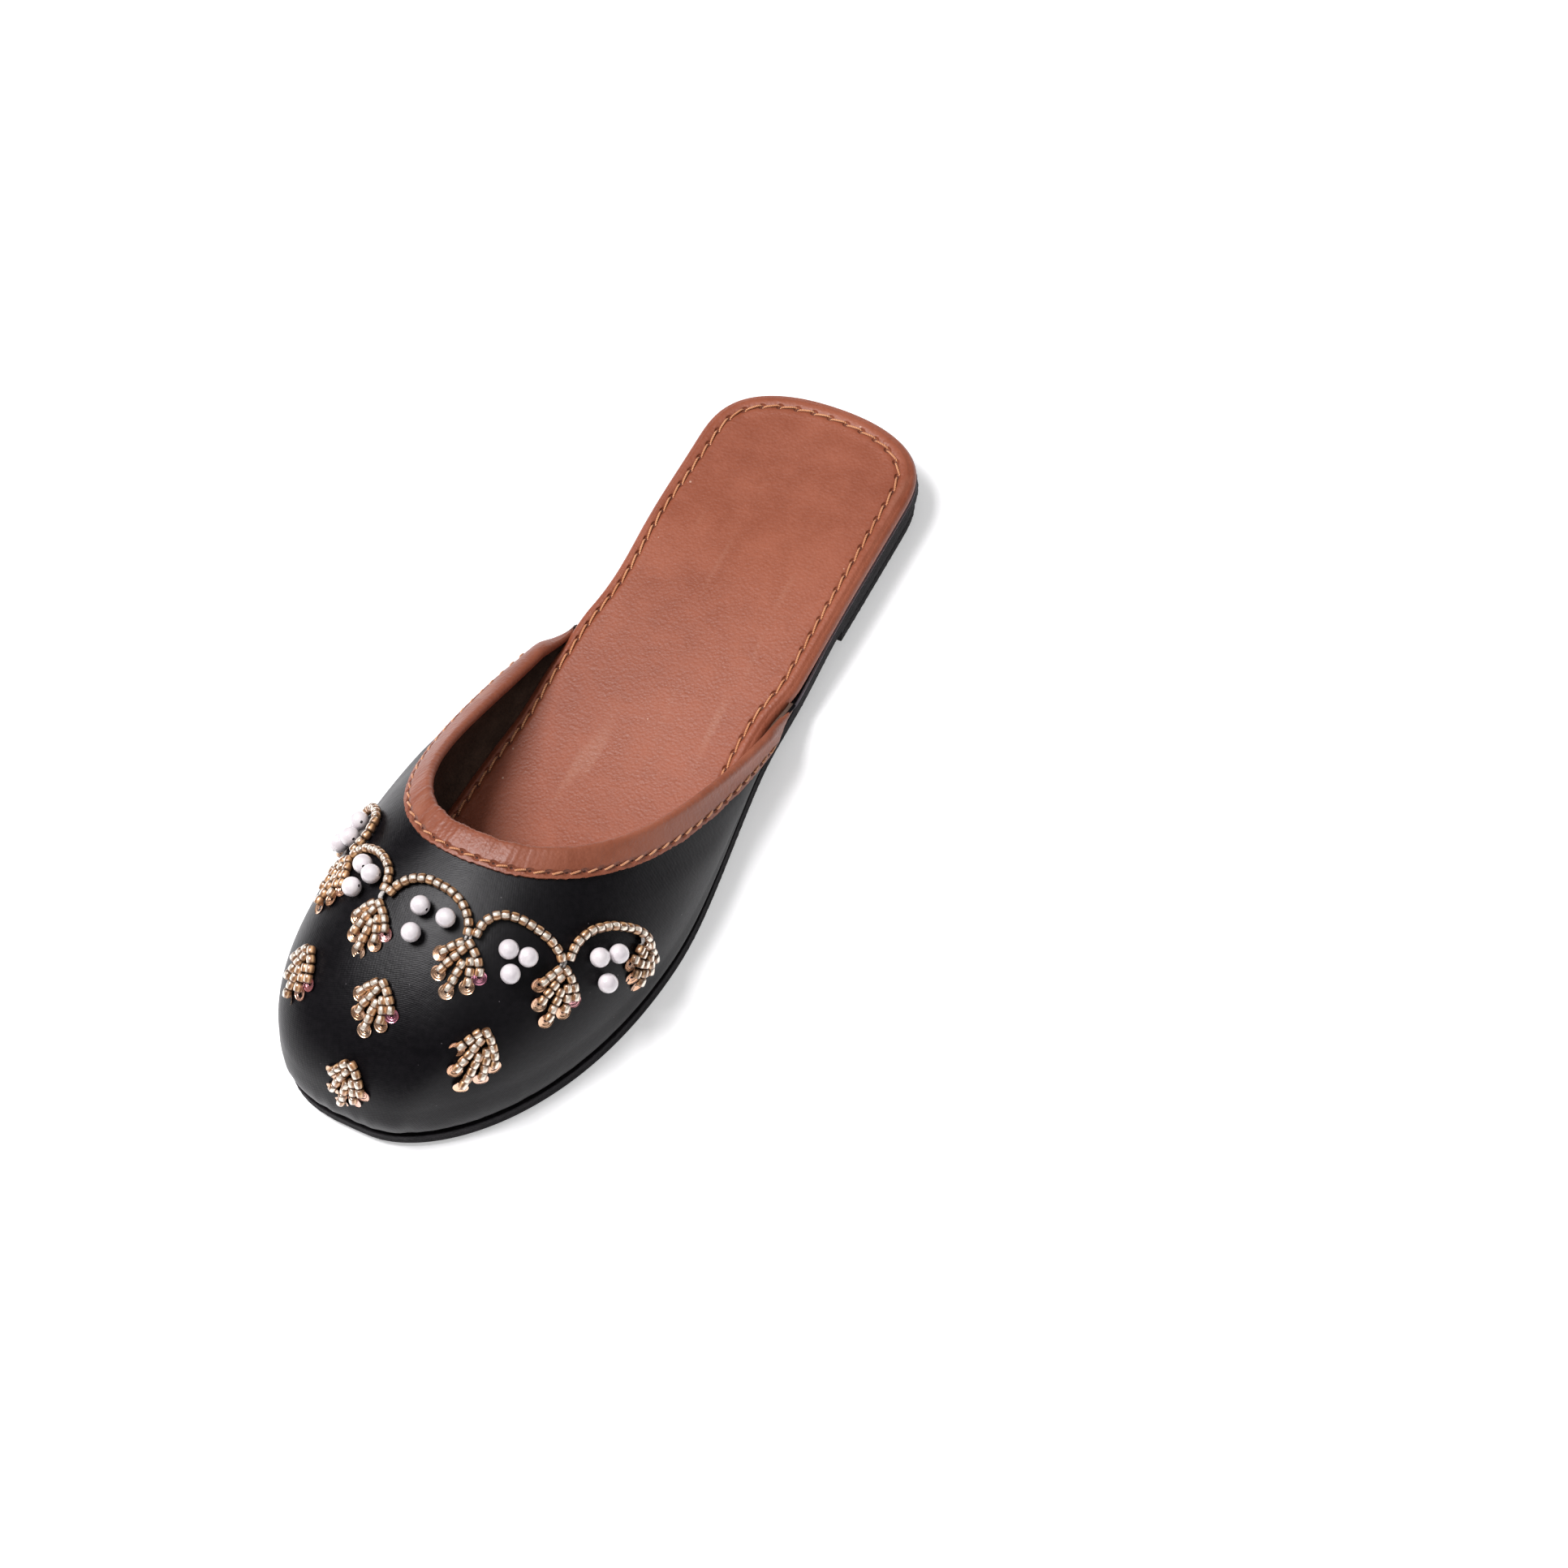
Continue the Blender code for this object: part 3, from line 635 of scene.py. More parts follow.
def lined_glass(name, pale, deep):
    """Silver-lined glass beads, with the light on them painted into the colour.

    Round each bead run a painted highlight on top, where the silver lining reflects the light through tinted
    glass, brown glass beside it, painted golden light on each flank and brown below. Its shade attribute
    shifts the bands, and painted shade darkens its ends, where beads meet.
    """
    glass = Finish(name, Specular_IOR_Level=0.8, Coat_Weight=1.0, Coat_Roughness=0.05, Coat_IOR=1.55)
    around, along = glass.uv()
    shade = glass.attribute("shade")
    offset = around + shade * 0.14 - 0.32
    turn = offset.math("ABSOLUTE", offset)
    # Painted highlight: the silver lining's bright reflection of the light, a pale band on top of each bead
    lining = turn.step(0.088, 0.056)
    # Painted golden light on each flank of the bead
    painted_glow = turn.step(0.150, 0.175) * turn.step(0.255, 0.215)
    middle = along - 0.5
    # Painted shade at both ends of each bead, where beads meet
    end = (middle * middle).step(0.070, 0.150)
    streak = glass.noise(0.0009, 2, 0.6)
    glass_tone = glass.mix(shade, deep, tuple(0.55 * c for c in deep))
    # Paints the golden light, the highlight band and the shade at the ends into the colour
    colour = glass.mix(painted_glow * 0.9, glass_tone, (0.90, 0.54, 0.27))
    colour = glass.mix(lining * (streak.step(0.25, 0.50) * 0.35 + 0.65), colour, pale)
    colour = glass.mix(end * 0.75, colour, tuple(0.30 * c for c in deep))
    glass.drive(Base_Color=colour, Metallic=lining * 0.20 + 0.25, Roughness=0.32 - lining * 0.10)
    return glass.material


def foil(name):
    """Rose-gold sequin foil: each disc its own tone from copper to pink, round a bore darkened with painted
    shade, where the end bead sits.
    """
    film = Finish(name, Metallic=0.85, Specular_IOR_Level=0.7, Coat_Weight=0.8, Coat_Roughness=0.06)
    shade = film.attribute("shade")
    _, radius = film.uv()
    copper = film.mix(shade.step(0.0, 0.55), (0.72, 0.36, 0.19), (0.88, 0.56, 0.37))
    colour = film.mix(shade.step(0.62, 0.80), copper, (0.78, 0.30, 0.42))
    # Painted shade round the bore, where the strand's last bead sits
    colour = film.mix((1 - radius).step(0.70, 0.95) * 0.8, colour, (0.16, 0.05, 0.04))
    ring = radius.wave(0.34)
    relief = film.bump(ring * 0.5 + 0.5, 0.00006)
    film.drive(Base_Color=colour, Normal=relief, Roughness=film.noise(0.003) * 0.2 + 0.14)
    return film.material


def pearl_lacquer(name):
    """Imitation pearl: white lacquer with a faint pink bloom and painted shade inside its bore."""
    nacre = Finish(name, Specular_IOR_Level=0.7, Coat_Weight=1.0, Coat_Roughness=0.04)
    bloom = nacre.noise(0.0028, 2, 0.5)
    _, height = nacre.uv()
    colour = nacre.mix(bloom.step(0.3, 0.7), (0.78, 0.72, 0.745), (0.90, 0.845, 0.855))
    # Painted shade inside the bore and at its mouths
    colour = nacre.mix(height.step(0.93, 0.99), colour, (0.10, 0.08, 0.08))
    nacre.drive(Base_Color=colour, Roughness=bloom * 0.15 + 0.18)
    return nacre.material


# Meshes


def grid_faces(rows, columns, close_rows, close_columns):
    """Corner indices of each quad of a grid, as row and column, before closing wraps them round."""
    r = np.arange(rows if close_rows else rows - 1)[:, None]
    c = np.arange(columns if close_columns else columns - 1)[None, :]
    corners = [(r, c), (r, c + 1), (r + 1, c + 1), (r + 1, c)]
    at = [np.broadcast_arrays(*corner) for corner in corners]
    return np.stack([a[0] for a in at], -1).reshape(-1, 4), np.stack([a[1] for a in at], -1).reshape(-1, 4)


def make_piece(
    name, points, material, uv=None, close=(False, False), caps=False, shade=None, replaces=()
):
    """A closed piece from copies of one grid of points: copies by rows by columns by 3.

    uv has a row and a column more where the grid closes. caps fills the first and last rows.
    shade is a number for each copy, which the material can read.
    """
    points = points if points.ndim == 4 else points[None]
    copies, rows, columns = points.shape[:3]
    face_rows, face_columns = grid_faces(rows, columns, *close)
    base = face_rows % rows * columns + face_columns % columns
    offset = np.arange(copies)[:, None, None] * rows * columns
    faces = (base[None] + offset).reshape(-1, 4)
    mesh = bpy.data.meshes.new(name)
    mesh.from_pydata(points.reshape(-1, 3), [], faces.tolist())
    layer = mesh.uv_layers.new(name="pattern")
    if uv is not None:
        corners = np.broadcast_to(uv[face_rows, face_columns], (copies, len(base), 4, 2))
        layer.uv.foreach_set("vector", np.ascontiguousarray(corners, np.float32).ravel())
    if shade is not None:
        values = np.repeat(np.asarray(shade, np.float32), rows * columns)
        mesh.attributes.new("shade", "FLOAT", "POINT").data.foreach_set("value", values)
    work = bmesh.new()
    work.from_mesh(mesh)
    if caps:
        work.verts.ensure_lookup_table()
        for start in range(0, copies * rows * columns, rows * columns):
            for first in (start, start + (rows - 1) * columns):
                work.faces.new([work.verts[first + k] for k in range(columns)])
    bmesh.ops.remove_doubles(work, verts=work.verts, dist=1e-7)
    bmesh.ops.dissolve_degenerate(work, edges=work.edges, dist=1e-7)
    bmesh.ops.recalc_face_normals(work, faces=work.faces)
    work.to_mesh(mesh)
    work.free()
    mesh.shade_smooth()
    mesh.set_sharp_from_angle(angle=math.radians(50))
    mesh.materials.append(material)
    piece = bpy.data.objects.new(name, mesh)
    bpy.context.scene.collection.objects.link(piece)
    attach(piece, "root")
    if replaces:
        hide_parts(*replaces)
    return piece


def placed(template, origins, along, away):
    """Copies of a template, its x along, its z away from the surface and its y sideways."""
    along = unit(along)
    side = unit(np.cross(away, along))
    axes = np.stack([along, side, np.cross(along, side)], axis=-2)
    return origins[:, None, None, :] + np.einsum("rcx,nxy->nrcy", template, axes)


def tube_template(path, radius, around):
    """A round tube through a path in the x-z plane, as rows along it."""
    turn = np.linspace(0, 2 * np.pi, around, endpoint=False)
    slope = unit(np.gradient(path, axis=0))
    lift = np.stack([-slope[:, 2], 0 * slope[:, 1], slope[:, 0]], axis=-1)
    side = np.array([0.0, 1.0, 0.0])
    ring = lift[:, None] * np.cos(turn)[None, :, None] + side * np.sin(turn)[None, :, None]
    return path[:, None] + ring * np.asarray(radius).reshape(-1, 1, 1)


def ring_template(radius, height, around):
    """A turned ring about x from the radius and height of each point of its closed section."""
    turn = np.linspace(0, 2 * np.pi, around, endpoint=False)
    r, x = np.asarray(radius)[:, None], np.asarray(height)[:, None]
    return np.stack([x + 0 * turn, r * np.cos(turn), r * np.sin(turn)], axis=-1)


def map_grid(u, v):
    """A map from one value for each column and one for each row."""
    return np.stack(np.broadcast_arrays(np.asarray(u)[None, :], np.asarray(v)[:, None]), axis=-1)


# Sole layers

SPINE_END = 0.018
FACE_INSET = 0.008
RING_POINTS = 420
HEEL_RING_POINTS = 260

# Rows: depth in mm and share of the height of each ring of a cut edge, from its lower rim up
OUTSOLE_PROFILE = (
    (0.60, 0.0), (0.22, 0.05), (0.04, 0.16), (0.05, 0.35), (0.10, 0.52),
    (0.05, 0.70), (0.0, 0.86), (0.03, 0.965), (0.15, 1.0),
)
HEEL_PROFILE = (
    (0.45, 0.0), (0.12, 0.02), (0.0, 0.07), (0.0, 0.30), (0.02, 0.50),
    (0.22, 0.53), (0.03, 0.56), (0.0, 0.70), (0.0, 0.90), (0.0, 1.0),
)


def ring_stations(last, count):
    """Stations from the heel, packed towards both ends, where the outline turns."""
    return last * (1 - np.cos(np.linspace(0, math.pi, count))) / 2


def layer(last, inset, rows, count=RING_POINTS):
    """Rings of a sole layer, from the middle of its lower face round its edge to the top's.

    Each row is a pair of functions: how far in its ring lies from the layer's edge, by run,
    station and side, and its height, by station and run. None for the first gathers the ring
    on a spine, a line of points down the middle.
    """
    stations = ring_stations(last, count)
    toe_closed = last == LENGTH
    back = slice(1, -1) if toe_closed else slice(1, None)
    edge_stations = np.concatenate([stations, stations[back][::-1]])
    edge_run = run_along(outline(stations, inset, back))
    rings = []
    for depth, height in rows:
        if depth is None:
            end = last - SPINE_END if toe_closed else last - 0.5 * MM
            s = np.clip(SPINE_END + edge_stations / last * (end - SPINE_END), SPINE_END, end)
            ring = np.stack([centre_line(s), s], axis=-1)
        else:
            def inwards(s, side, depth=depth):
                return inset(s, side) + depth(edge_run[:count], s, side)

            ring = outline(stations, inwards, back)
            if not toe_closed:
                ring[:, 1] = np.minimum(ring[:, 1], last)
        rings.append(to_world(ring[:, 0], ring[:, 1], height(ring[:, 1], edge_run)))
    return np.stack(rings), edge_run


def between(low, high, share):
    return lambda s, run: low(s) + share * (high(s) - low(s))


def face_rings(height):
    """The two rings of a layer's flat face: the spine, and a ring well in from the edge."""
    return [(None, height), (lambda run, s, side: FACE_INSET, height)]


def cut_rings(profile, low, high, inset, rough, length, seed, rough_rings):
    """Rings of a layer with a cut edge: its flat faces, and its profile with a rough wall.

    inset gives a ring's distance in from its share of the height. Waves of a mean length
    ripple the rough rings.
    """
    rows = face_rings(between(low, high, 0.0))
    for k, (depth, share) in enumerate(profile):
        amount = rough if k in rough_rings else 0.0
        start = inset(share) + depth * MM

        def in_from_edge(run, s, side, start=start, amount=amount, k=k):
            return start + amount * ripple(run, length, seed + k)

        rows.append((in_from_edge, between(low, high, share)))
    return rows + face_rings(between(low, high, 1.0))[::-1]


def make_outsole(material):
    """The outsole: a buffed wall, slightly hollow at mid height, with a softened lower rim."""
    rows = cut_rings(
        OUTSOLE_PROFILE, underside, outsole_top, lambda share: 0.0, 0.05 * MM, 0.0021, 20, range(2, 7)
    )
    rings, run = layer(LENGTH, lambda s, side: -rear_flare(s), rows)
    v = np.concatenate([[0, 0], [share for _, share in OUTSOLE_PROFILE], [0.5, 0.5]])
    uv = map_grid(np.append(run, run[-1]), v)
    return make_piece("outsole_rubber", rings, material, uv, (False, True), replaces=("outsole",))


def make_heel_lift(material):
    """The heel lift: two cut layers with a fine joint between them, tapering to the floor."""
    def top(s):
        return underside(s) - CLEARANCE / 2

    def floor(s):
        return 0.0 * s

    def tapered(share):
        return HEEL_INSET + HEEL_TAPER * (1 - share)

    rows = cut_rings(HEEL_PROFILE, floor, top, tapered, 0.06 * MM, 0.0019, 40, range(2, 9))
    rings, run = layer(HEEL_BREAST, lambda s, side: 0.0 * s, rows, HEEL_RING_POINTS)
    v = np.concatenate([[0, 0], [0.8 * share for _, share in HEEL_PROFILE], [0.5, 0.5]])
    uv = map_grid(np.append(run, run[-1]), v)
    name = "heel_lift_rubber"
    return make_piece(name, rings, material, uv, (False, True), replaces=("heel_lift",))


def stitch_shift(station, side):
    """How much further in the footbed's stitches run than their usual distance: less along the sides."""
    ahead = smooth(station, 0.015, 0.060)
    return 0.0004 * (1 - ahead) + (STITCH_SHIFT_OUTER if side == OUTER else STITCH_SHIFT_INNER) * ahead


def footbed_stitch_line():
    """Points of the footbed's stitch line and the stitch count up to each, round from the heel.

    The count has one value more, for the line's return to its first point.
    """
    def inset(s, side):
        return insole_inset(s, side) + FOOTBED_STITCH_INSET + stitch_shift(s, side)

    line = outline(ring_stations(LENGTH, RING_POINTS), inset, slice(1, -1))
    points = to_world(line[:, 0], line[:, 1], insole_top(line[:, 1]))
    run = run_along(np.concatenate([points, points[:1]]))
    stitches = round(run[-1] / FOOTBED_PITCH)
    return points, run / run[-1] * stitches


def make_footbed(material):
    """The footbed: leather turned over a board, with a full roll at the edge and a sewn groove.

    Its section is flat, dips along the stitch line, swells between that and the edge, and
    turns down the side in a quarter round. The dip is deeper at each needle hole.
    """
    _, count = footbed_stitch_line()
    hole = np.abs(count[:-1] - np.round(count[:-1]))
    pull = np.exp(-((hole * FOOTBED_PITCH / (0.9 * MM)) ** 2))
    line = FOOTBED_STITCH_INSET / MM

    def height(share, lift, groove):
        def z(s, run):
            waves = 0.05 * MM * ripple(run, 0.011, 5) * (1 if lift > 0 else 0)
            dip = groove * MM * (0.22 + 0.30 * pull)
            return insole_bottom(s) + share * INSOLE_THICKNESS + lift * MM - dip + waves * groove
        return z

    rows = face_rings(height(0, 0, 0))
    insets = [8.0, 8.0]
    for angle in np.radians([-75, -50, -25, 0, 15, 30, 45, 58, 70, 80]):
        depth = 1.9 * (1 - np.cos(angle))
        share = 0.42 + (0.42 if angle < 0 else 0.50) * np.sin(angle)
        rows.append((lambda run, s, side, d=depth: d * MM, height(share, 0, 0)))
        insets.append(depth)
    depths = np.arange(2.0, 4.4, 0.4), np.arange(4.5, 6.6, 0.18), np.arange(6.8, 9.4, 0.5)
    for depth in np.concatenate(depths):
        swell = 0.34 * np.sin(np.pi * np.clip(depth / line, 0, 1)) + 0.10 * hump(depth, line + 1.6, 1.0)
        edge = 0.92 + 0.08 * min(1.0, (depth - 1.4) / 1.6)
        follow = smooth(depth, 1.0, line)
        rows.append((
            lambda run, s, side, d=depth, f=follow: d * MM + f * stitch_shift(s, side),
            height(edge, swell, hump(depth, line, 0.62)),
        ))
        insets.append(depth)
    rings, run = layer(LENGTH, insole_inset, rows)
    spine = to_world(centre_line(REST_STATION - rings[0, :, 1]), REST_STATION - rings[0, :, 1], 0.0)
    spine[:, 2] = insole_top(REST_STATION - spine[:, 1])
    shares = np.array([0.12, 0.3, 0.5, 0.7, 0.87, 1.0])[:, None, None]
    middle = rings[-1] * (1 - shares) + spine * shares
    middle[..., 2] = insole_top(REST_STATION - middle[..., 1])
    wear = 0.35 * MM * hump(REST_STATION - middle[..., 1], 0.035, 0.02) * smooth(shares[..., 0], 0.1, 1.0)
    middle[..., 2] -= wear
    rings = np.concatenate([rings, middle])
    insets += [12.0] * len(shares)
    uv = map_grid(count, insets)
    piece = make_piece("footbed_leather", rings, material, uv, (False, True), replaces=("insole",))
    return piece


# Upper

# Rows: rise and turn of points on the vamp's soft centre crease
CREASE = ((0.0, 0.478), (0.085, 0.474), (0.19, 0.464), (0.31, 0.451), (0.445, 0.451), (0.60, 0.447))
TURN_LENGTH = 0.36


def satin_relief(turn, rise):
    """Height of the satin over the last's plain shape.

    A soft crease ridge from the toe with a trough beside it, small gathers where the cloth
    turns under the toe, a fuller foot and inner cheek, and slow waves.
    """
    table = np.array(CREASE)
    crest = np.interp(rise, table[:, 0], table[:, 1])
    across = (turn - crest) * TURN_LENGTH * (1 - 0.45 * rise)
    fade = smooth(rise, 0.0, 0.10) * (1 - smooth(rise, 0.35, 0.68))
    ridge = 0.75 * MM * hump(across, 0.0, 0.0060) * fade
    trough = -0.35 * MM * hump(across, -0.0125, 0.0075) * fade
    toe = hump(turn, 0.49, 0.12)
    gathers = 0.16 * MM * ripple(turn * TURN_LENGTH, 0.0065, 7) * toe * hump(rise, 0.05, 0.05)
    waves = 0.10 * MM * ripple(turn * TURN_LENGTH + 0.02 * np.sin(6 * rise), 0.034, 9)
    waves = waves * smooth(rise, 0.05, 0.3)
    foot = 1.1 * MM * smooth(rise, 0.0, 0.022) * (1 - smooth(rise, 0.03, 0.16))
    foot = foot * smooth(np.abs(turn - 0.5), 0.5, 0.36)
    cheek = 1.3 * MM * hump(turn, 0.66, 0.10) * hump(rise, 0.22, 0.20) * smooth(rise, 0.0, 0.05)
    return ridge + trough + gathers + foot + cheek + waves * (1 - smooth(rise, 0.75, 0.95))


def vamp_turns(count):
    """Where the ribs stand round the foot, closer together at the rear ends."""
    even = np.linspace(0, 1, count)
    return even - 0.4 * np.sin(2 * np.pi * even) / (2 * np.pi)


SATIN_PLY = 0.0008


def wall_at(rise):
    """Thickness of the vamp's wall, which the binding's pull thins towards the topline."""
    return UPPER_WALL - (UPPER_WALL - LIP_WALL) * smooth(rise, 0.72, 0.97)


def make_vamp_satin(material):
    """The vamp's outer ply: the last's face with its creases, as a closed sheet of satin on board."""
    turn, rise = vamp_turns(480)[:, None], np.linspace(0, 1, 76)[None, :]
    normal = upper_normal(turn, rise)
    face = upper_point(turn, rise) + normal * satin_relief(turn, rise)[..., None]
    back = upper_point(turn, rise) - normal * SATIN_PLY
    section = np.concatenate([face, back[:, ::-1]], axis=1)
    lengths = np.linalg.norm(np.diff(face, axis=1), axis=-1).cumsum(axis=1)
    up = np.concatenate([np.zeros((len(face), 1)), lengths], axis=1)[:, :, None]
    along = np.repeat((turn * TURN_LENGTH)[:, :, None], up.shape[1], axis=1)
    uv = np.concatenate([along, up], axis=-1) / MM
    uv = np.concatenate([uv, uv[:, ::-1], uv[:, :1]], axis=1)
    return make_piece("vamp_satin", section, material, uv, (False, True), True, replaces=("upper",))


def make_vamp_lining(material):
    """The vamp's inner ply, of suede: down the wall and, in a soft bend, in under the footbed's edge."""
    turn, rise = vamp_turns(320), np.linspace(1, 0.26, 34)
    slack = 0.12 * MM * ripple(turn[:, None] * TURN_LENGTH + 0.01 * rise, 0.017, 13) * np.sin(np.pi * rise)
    normal = upper_normal(turn[:, None], rise)
    wall = upper_point(turn[:, None], rise)
    inner = wall - normal * (wall_at(rise)[:, None] + slack[..., None])
    outer = wall - normal * (SATIN_PLY + 0.04 * MM)
    foot, outward = feather_line(turn), outward_at(turn)
    station = REST_STATION - foot[:, 1]
    gap = (insole_inset(station, np.where(turn < 0.5, OUTER, INNER)) - feather_inset(station))[:, None]
    end = foot - outward * (gap + 1.6 * MM) + UP * 1.5 * MM
    bend = foot - outward * (UPPER_WALL + 0.3 * MM) + UP * 1.4 * MM
    share = np.linspace(0, 1, 16)[None, 1:, None]
    curve = (1 - share) ** 2 * inner[:, -1:] + 2 * share * (1 - share) * bend[:, None]
    curve = curve + share**2 * end[:, None]
    under = curve - UP * 0.9 * MM - outward[:, None] * 0.1 * MM
    heel = foot[:, None] - outward[:, None] * 0.9 * MM + UP * 0.3 * MM
    section = np.concatenate([inner, curve, under[:, :5:-1], heel, outer[:, ::-1]], axis=1)
    return make_piece("vamp_lining", section, material, None, (False, True), True)


def binding_frame(turn):
    """The lip, its outward and upward directions, and how far down the two flanges reach."""
    lip = upper_point(turn, 1.0)
    normal = upper_normal(turn, 1.0)
    along = topline(np.minimum(turn + MM, 1)) - topline(np.maximum(turn - MM, 0))
    up = np.cross(normal, along)
    up = unit(up * np.sign(up[:, 2:]))
    height = lip[:, 2] - feather_line(turn)[:, 2]
    inner_lip = lip - normal * (UPPER_WALL + 1.45 * MM)
    above_insole = inner_lip[:, 2] - insole_top(REST_STATION - inner_lip[:, 1])
    outer_depth = np.minimum(OUTER_FLANGE, 0.75 * height)
    inner_depth = np.clip(above_insole - 2 * CLEARANCE, CLEARANCE, INNER_FLANGE)
    return lip, normal, up, outer_depth, inner_depth


# Where the rings of the binding lie: shares of each flange's depth, and degrees round the roll
OUTER_SHARES = (
    1.0, 0.985, 0.95, 0.91, 0.87, 0.845, 0.82, 0.795, 0.77, 0.73, 0.67, 0.60, 0.50, 0.40, 0.30, 0.20, 0.11
)
ROLL_DEGREES = (8, 22, 36, 50, 64, 78, 92, 106, 120, 134, 148, 162, 174)
INNER_SHARES = (0.10, 0.25, 0.40, 0.55, 0.68, 0.78, 0.86, 0.94, 1.0)
TAPER_RUN = 0.015


def make_binding(material):
    """The binding: a strip folded over the topline, sewn through near its raw outer edge.

    Its section runs up the outer flange, dips at the seam, swells into a full roll over the
    lip, and goes down inside. The roll is wrinkled across where the throat turns.
    """
    turn = vamp_turns(BINDING_RIBS)
    lip, normal, up, outer_depth, inner_depth = binding_frame(turn)
    run = run_along(lip)
    length = run[-1]
    near_end = np.minimum(run, length - run)
    full = smooth(outer_depth, 3.0 * MM, OUTER_FLANGE)
    throat = smooth(np.abs(turn - 0.5), 0.30, 0.10)
    wrinkle = (0.020 + 0.030 * throat) * MM * ripple(run, 0.0026, 31)
    wrinkle += 0.10 * MM * throat * ripple(run, 0.0078, 33)
    wrinkle += 0.20 * MM * hump(turn, 0.62, 0.035) * ripple(run, 0.0040, 35)
    ragged = 0.10 * MM * ripple(run, 0.0017, 37) + 0.10 * MM * ripple(run, 0.009, 38)
    seam = BINDING_STITCH_DEPTH / OUTER_FLANGE

    def outer_face(share, away):
        depth = (outer_depth + ragged * smooth(share, 0.8, 1.0)) * share
        rise = rise_at_depth(turn, depth[:, None])[:, 0]
        return upper_point(turn, rise) + upper_normal(turn, rise) * away[:, None]

    def inner_face(share, away):
        rise = rise_at_depth(turn, (inner_depth * share)[:, None])[:, 0]
        return upper_point(turn, rise) - upper_normal(turn, rise) * (wall_at(rise) + away)[:, None]

    def roll(degrees, away):
        angle = math.radians(degrees)
        radius = (LIP_WALL / 2 + away)[:, None]
        return lip - normal * LIP_WALL / 2 + radius * (normal * math.cos(angle) + up * math.sin(angle))

    section, v = [], []
    thin = 0.10 * MM * np.ones_like(turn)
    for share in OUTER_SHARES:
        dip = 0.30 * hump(share, seam, 0.030)
        swell = np.sqrt(np.clip(1 - (share / seam) ** 2.6, 0, 1))
        flat = 0.62 if share > 0.99 else 0.92
        away = (flat - dip + 0.42 * swell * full) * MM + wrinkle * swell
        section.append(outer_face(share, away))
        v.append(share * OUTER_FLANGE / MM)
    for degrees in ROLL_DEGREES:
        bend = math.radians(degrees)
        away = (0.84 + 0.48 * math.cos(bend) + 0.10 * math.sin(bend)) * MM
        away = away + wrinkle * (1 + 0.5 * math.sin(bend))
        section.append(roll(degrees, away))
        v.append(-degrees / 90 * 2.5)
    for share in INNER_SHARES:
        away = (0.44 + 0.34 * smooth(share, 0.10, 0.45) - 0.16 * hump(share, 0.80, 0.05)) * MM
        away = away + wrinkle * (1 - share)
        section.append(inner_face(share, away))
        v.append(-6.0 - share)
    for share in (1.0, 0.5, 0.10):
        section.append(inner_face(share, thin))
        v.append(-9.0)
    for degrees in (135, 90, 45):
        section.append(roll(degrees, thin))
        v.append(-9.0)
    for share in (0.10, 0.5, 1.0):
        section.append(outer_face(share, thin))
        v.append(9.0)
    grid = np.stack(section, axis=1)
    taper = 0.14 + 0.86 * np.clip(near_end / TAPER_RUN, 0, 1) ** 0.65
    core = (lip - normal * LIP_WALL / 2 - up * 1.2 * MM)[:, None]
    grid = core + (grid - core) * taper[:, None, None]
    uv = map_grid(np.append(v, v[0]), run / BINDING_PITCH)[..., ::-1]
    name = "collar_binding_leather"
    return make_piece(name, grid, material, uv, (False, True), True, replaces=("collar_binding",))


# Sewing


def stitch_template(pitch, lean):
    """A stitch: a thread that comes up from one hole, lies over the leather and goes down the next."""
    x = np.linspace(-0.5, 0.5, 9) * pitch * 0.97
    q = x / x[-1]
    lift = THREAD * (0.62 * (1 - q**4) - 0.55 * q**6)
    radius = THREAD / 2 * (0.78 + 0.22 * (1 - q**2))
    template = tube_template(np.stack([x, 0 * x, lift], axis=-1), radius, 7)
    template[..., 1] += (lean * q)[:, None]
    return template, map_grid(np.linspace(0, 1, 8), np.linspace(0, 1, 9))


def sew(name, points, count, away, pitch, lean, material):
    """Stitches between whole counts along a line of points, as one piece."""
    middles = np.arange(math.ceil(count[0]), math.floor(count[-1])) + 0.5
    rng = np.random.default_rng(len(middles))
    origin = interpolated(middles, count, points)
    along = interpolated(middles + 0.5, count, points) - interpolated(middles - 0.5, count, points)
    template, uv = stitch_template(pitch, lean)
    normal = unit(interpolated(middles, count, away))
    origin = origin + normal * rng.uniform(-0.05, 0.05, (len(middles), 1)) * MM
    copies = placed(template, origin, along, normal)
    return make_piece(name, copies, material, uv, (False, True), True)


def make_footbed_stitches(material):
    points, count = footbed_stitch_line()
    points = np.concatenate([points, points[:1]]) - UP * 0.22 * MM
    away = UP + 0 * points
    return sew("footbed_stitches", points, count, away, FOOTBED_PITCH, 0.38 * MM, material)


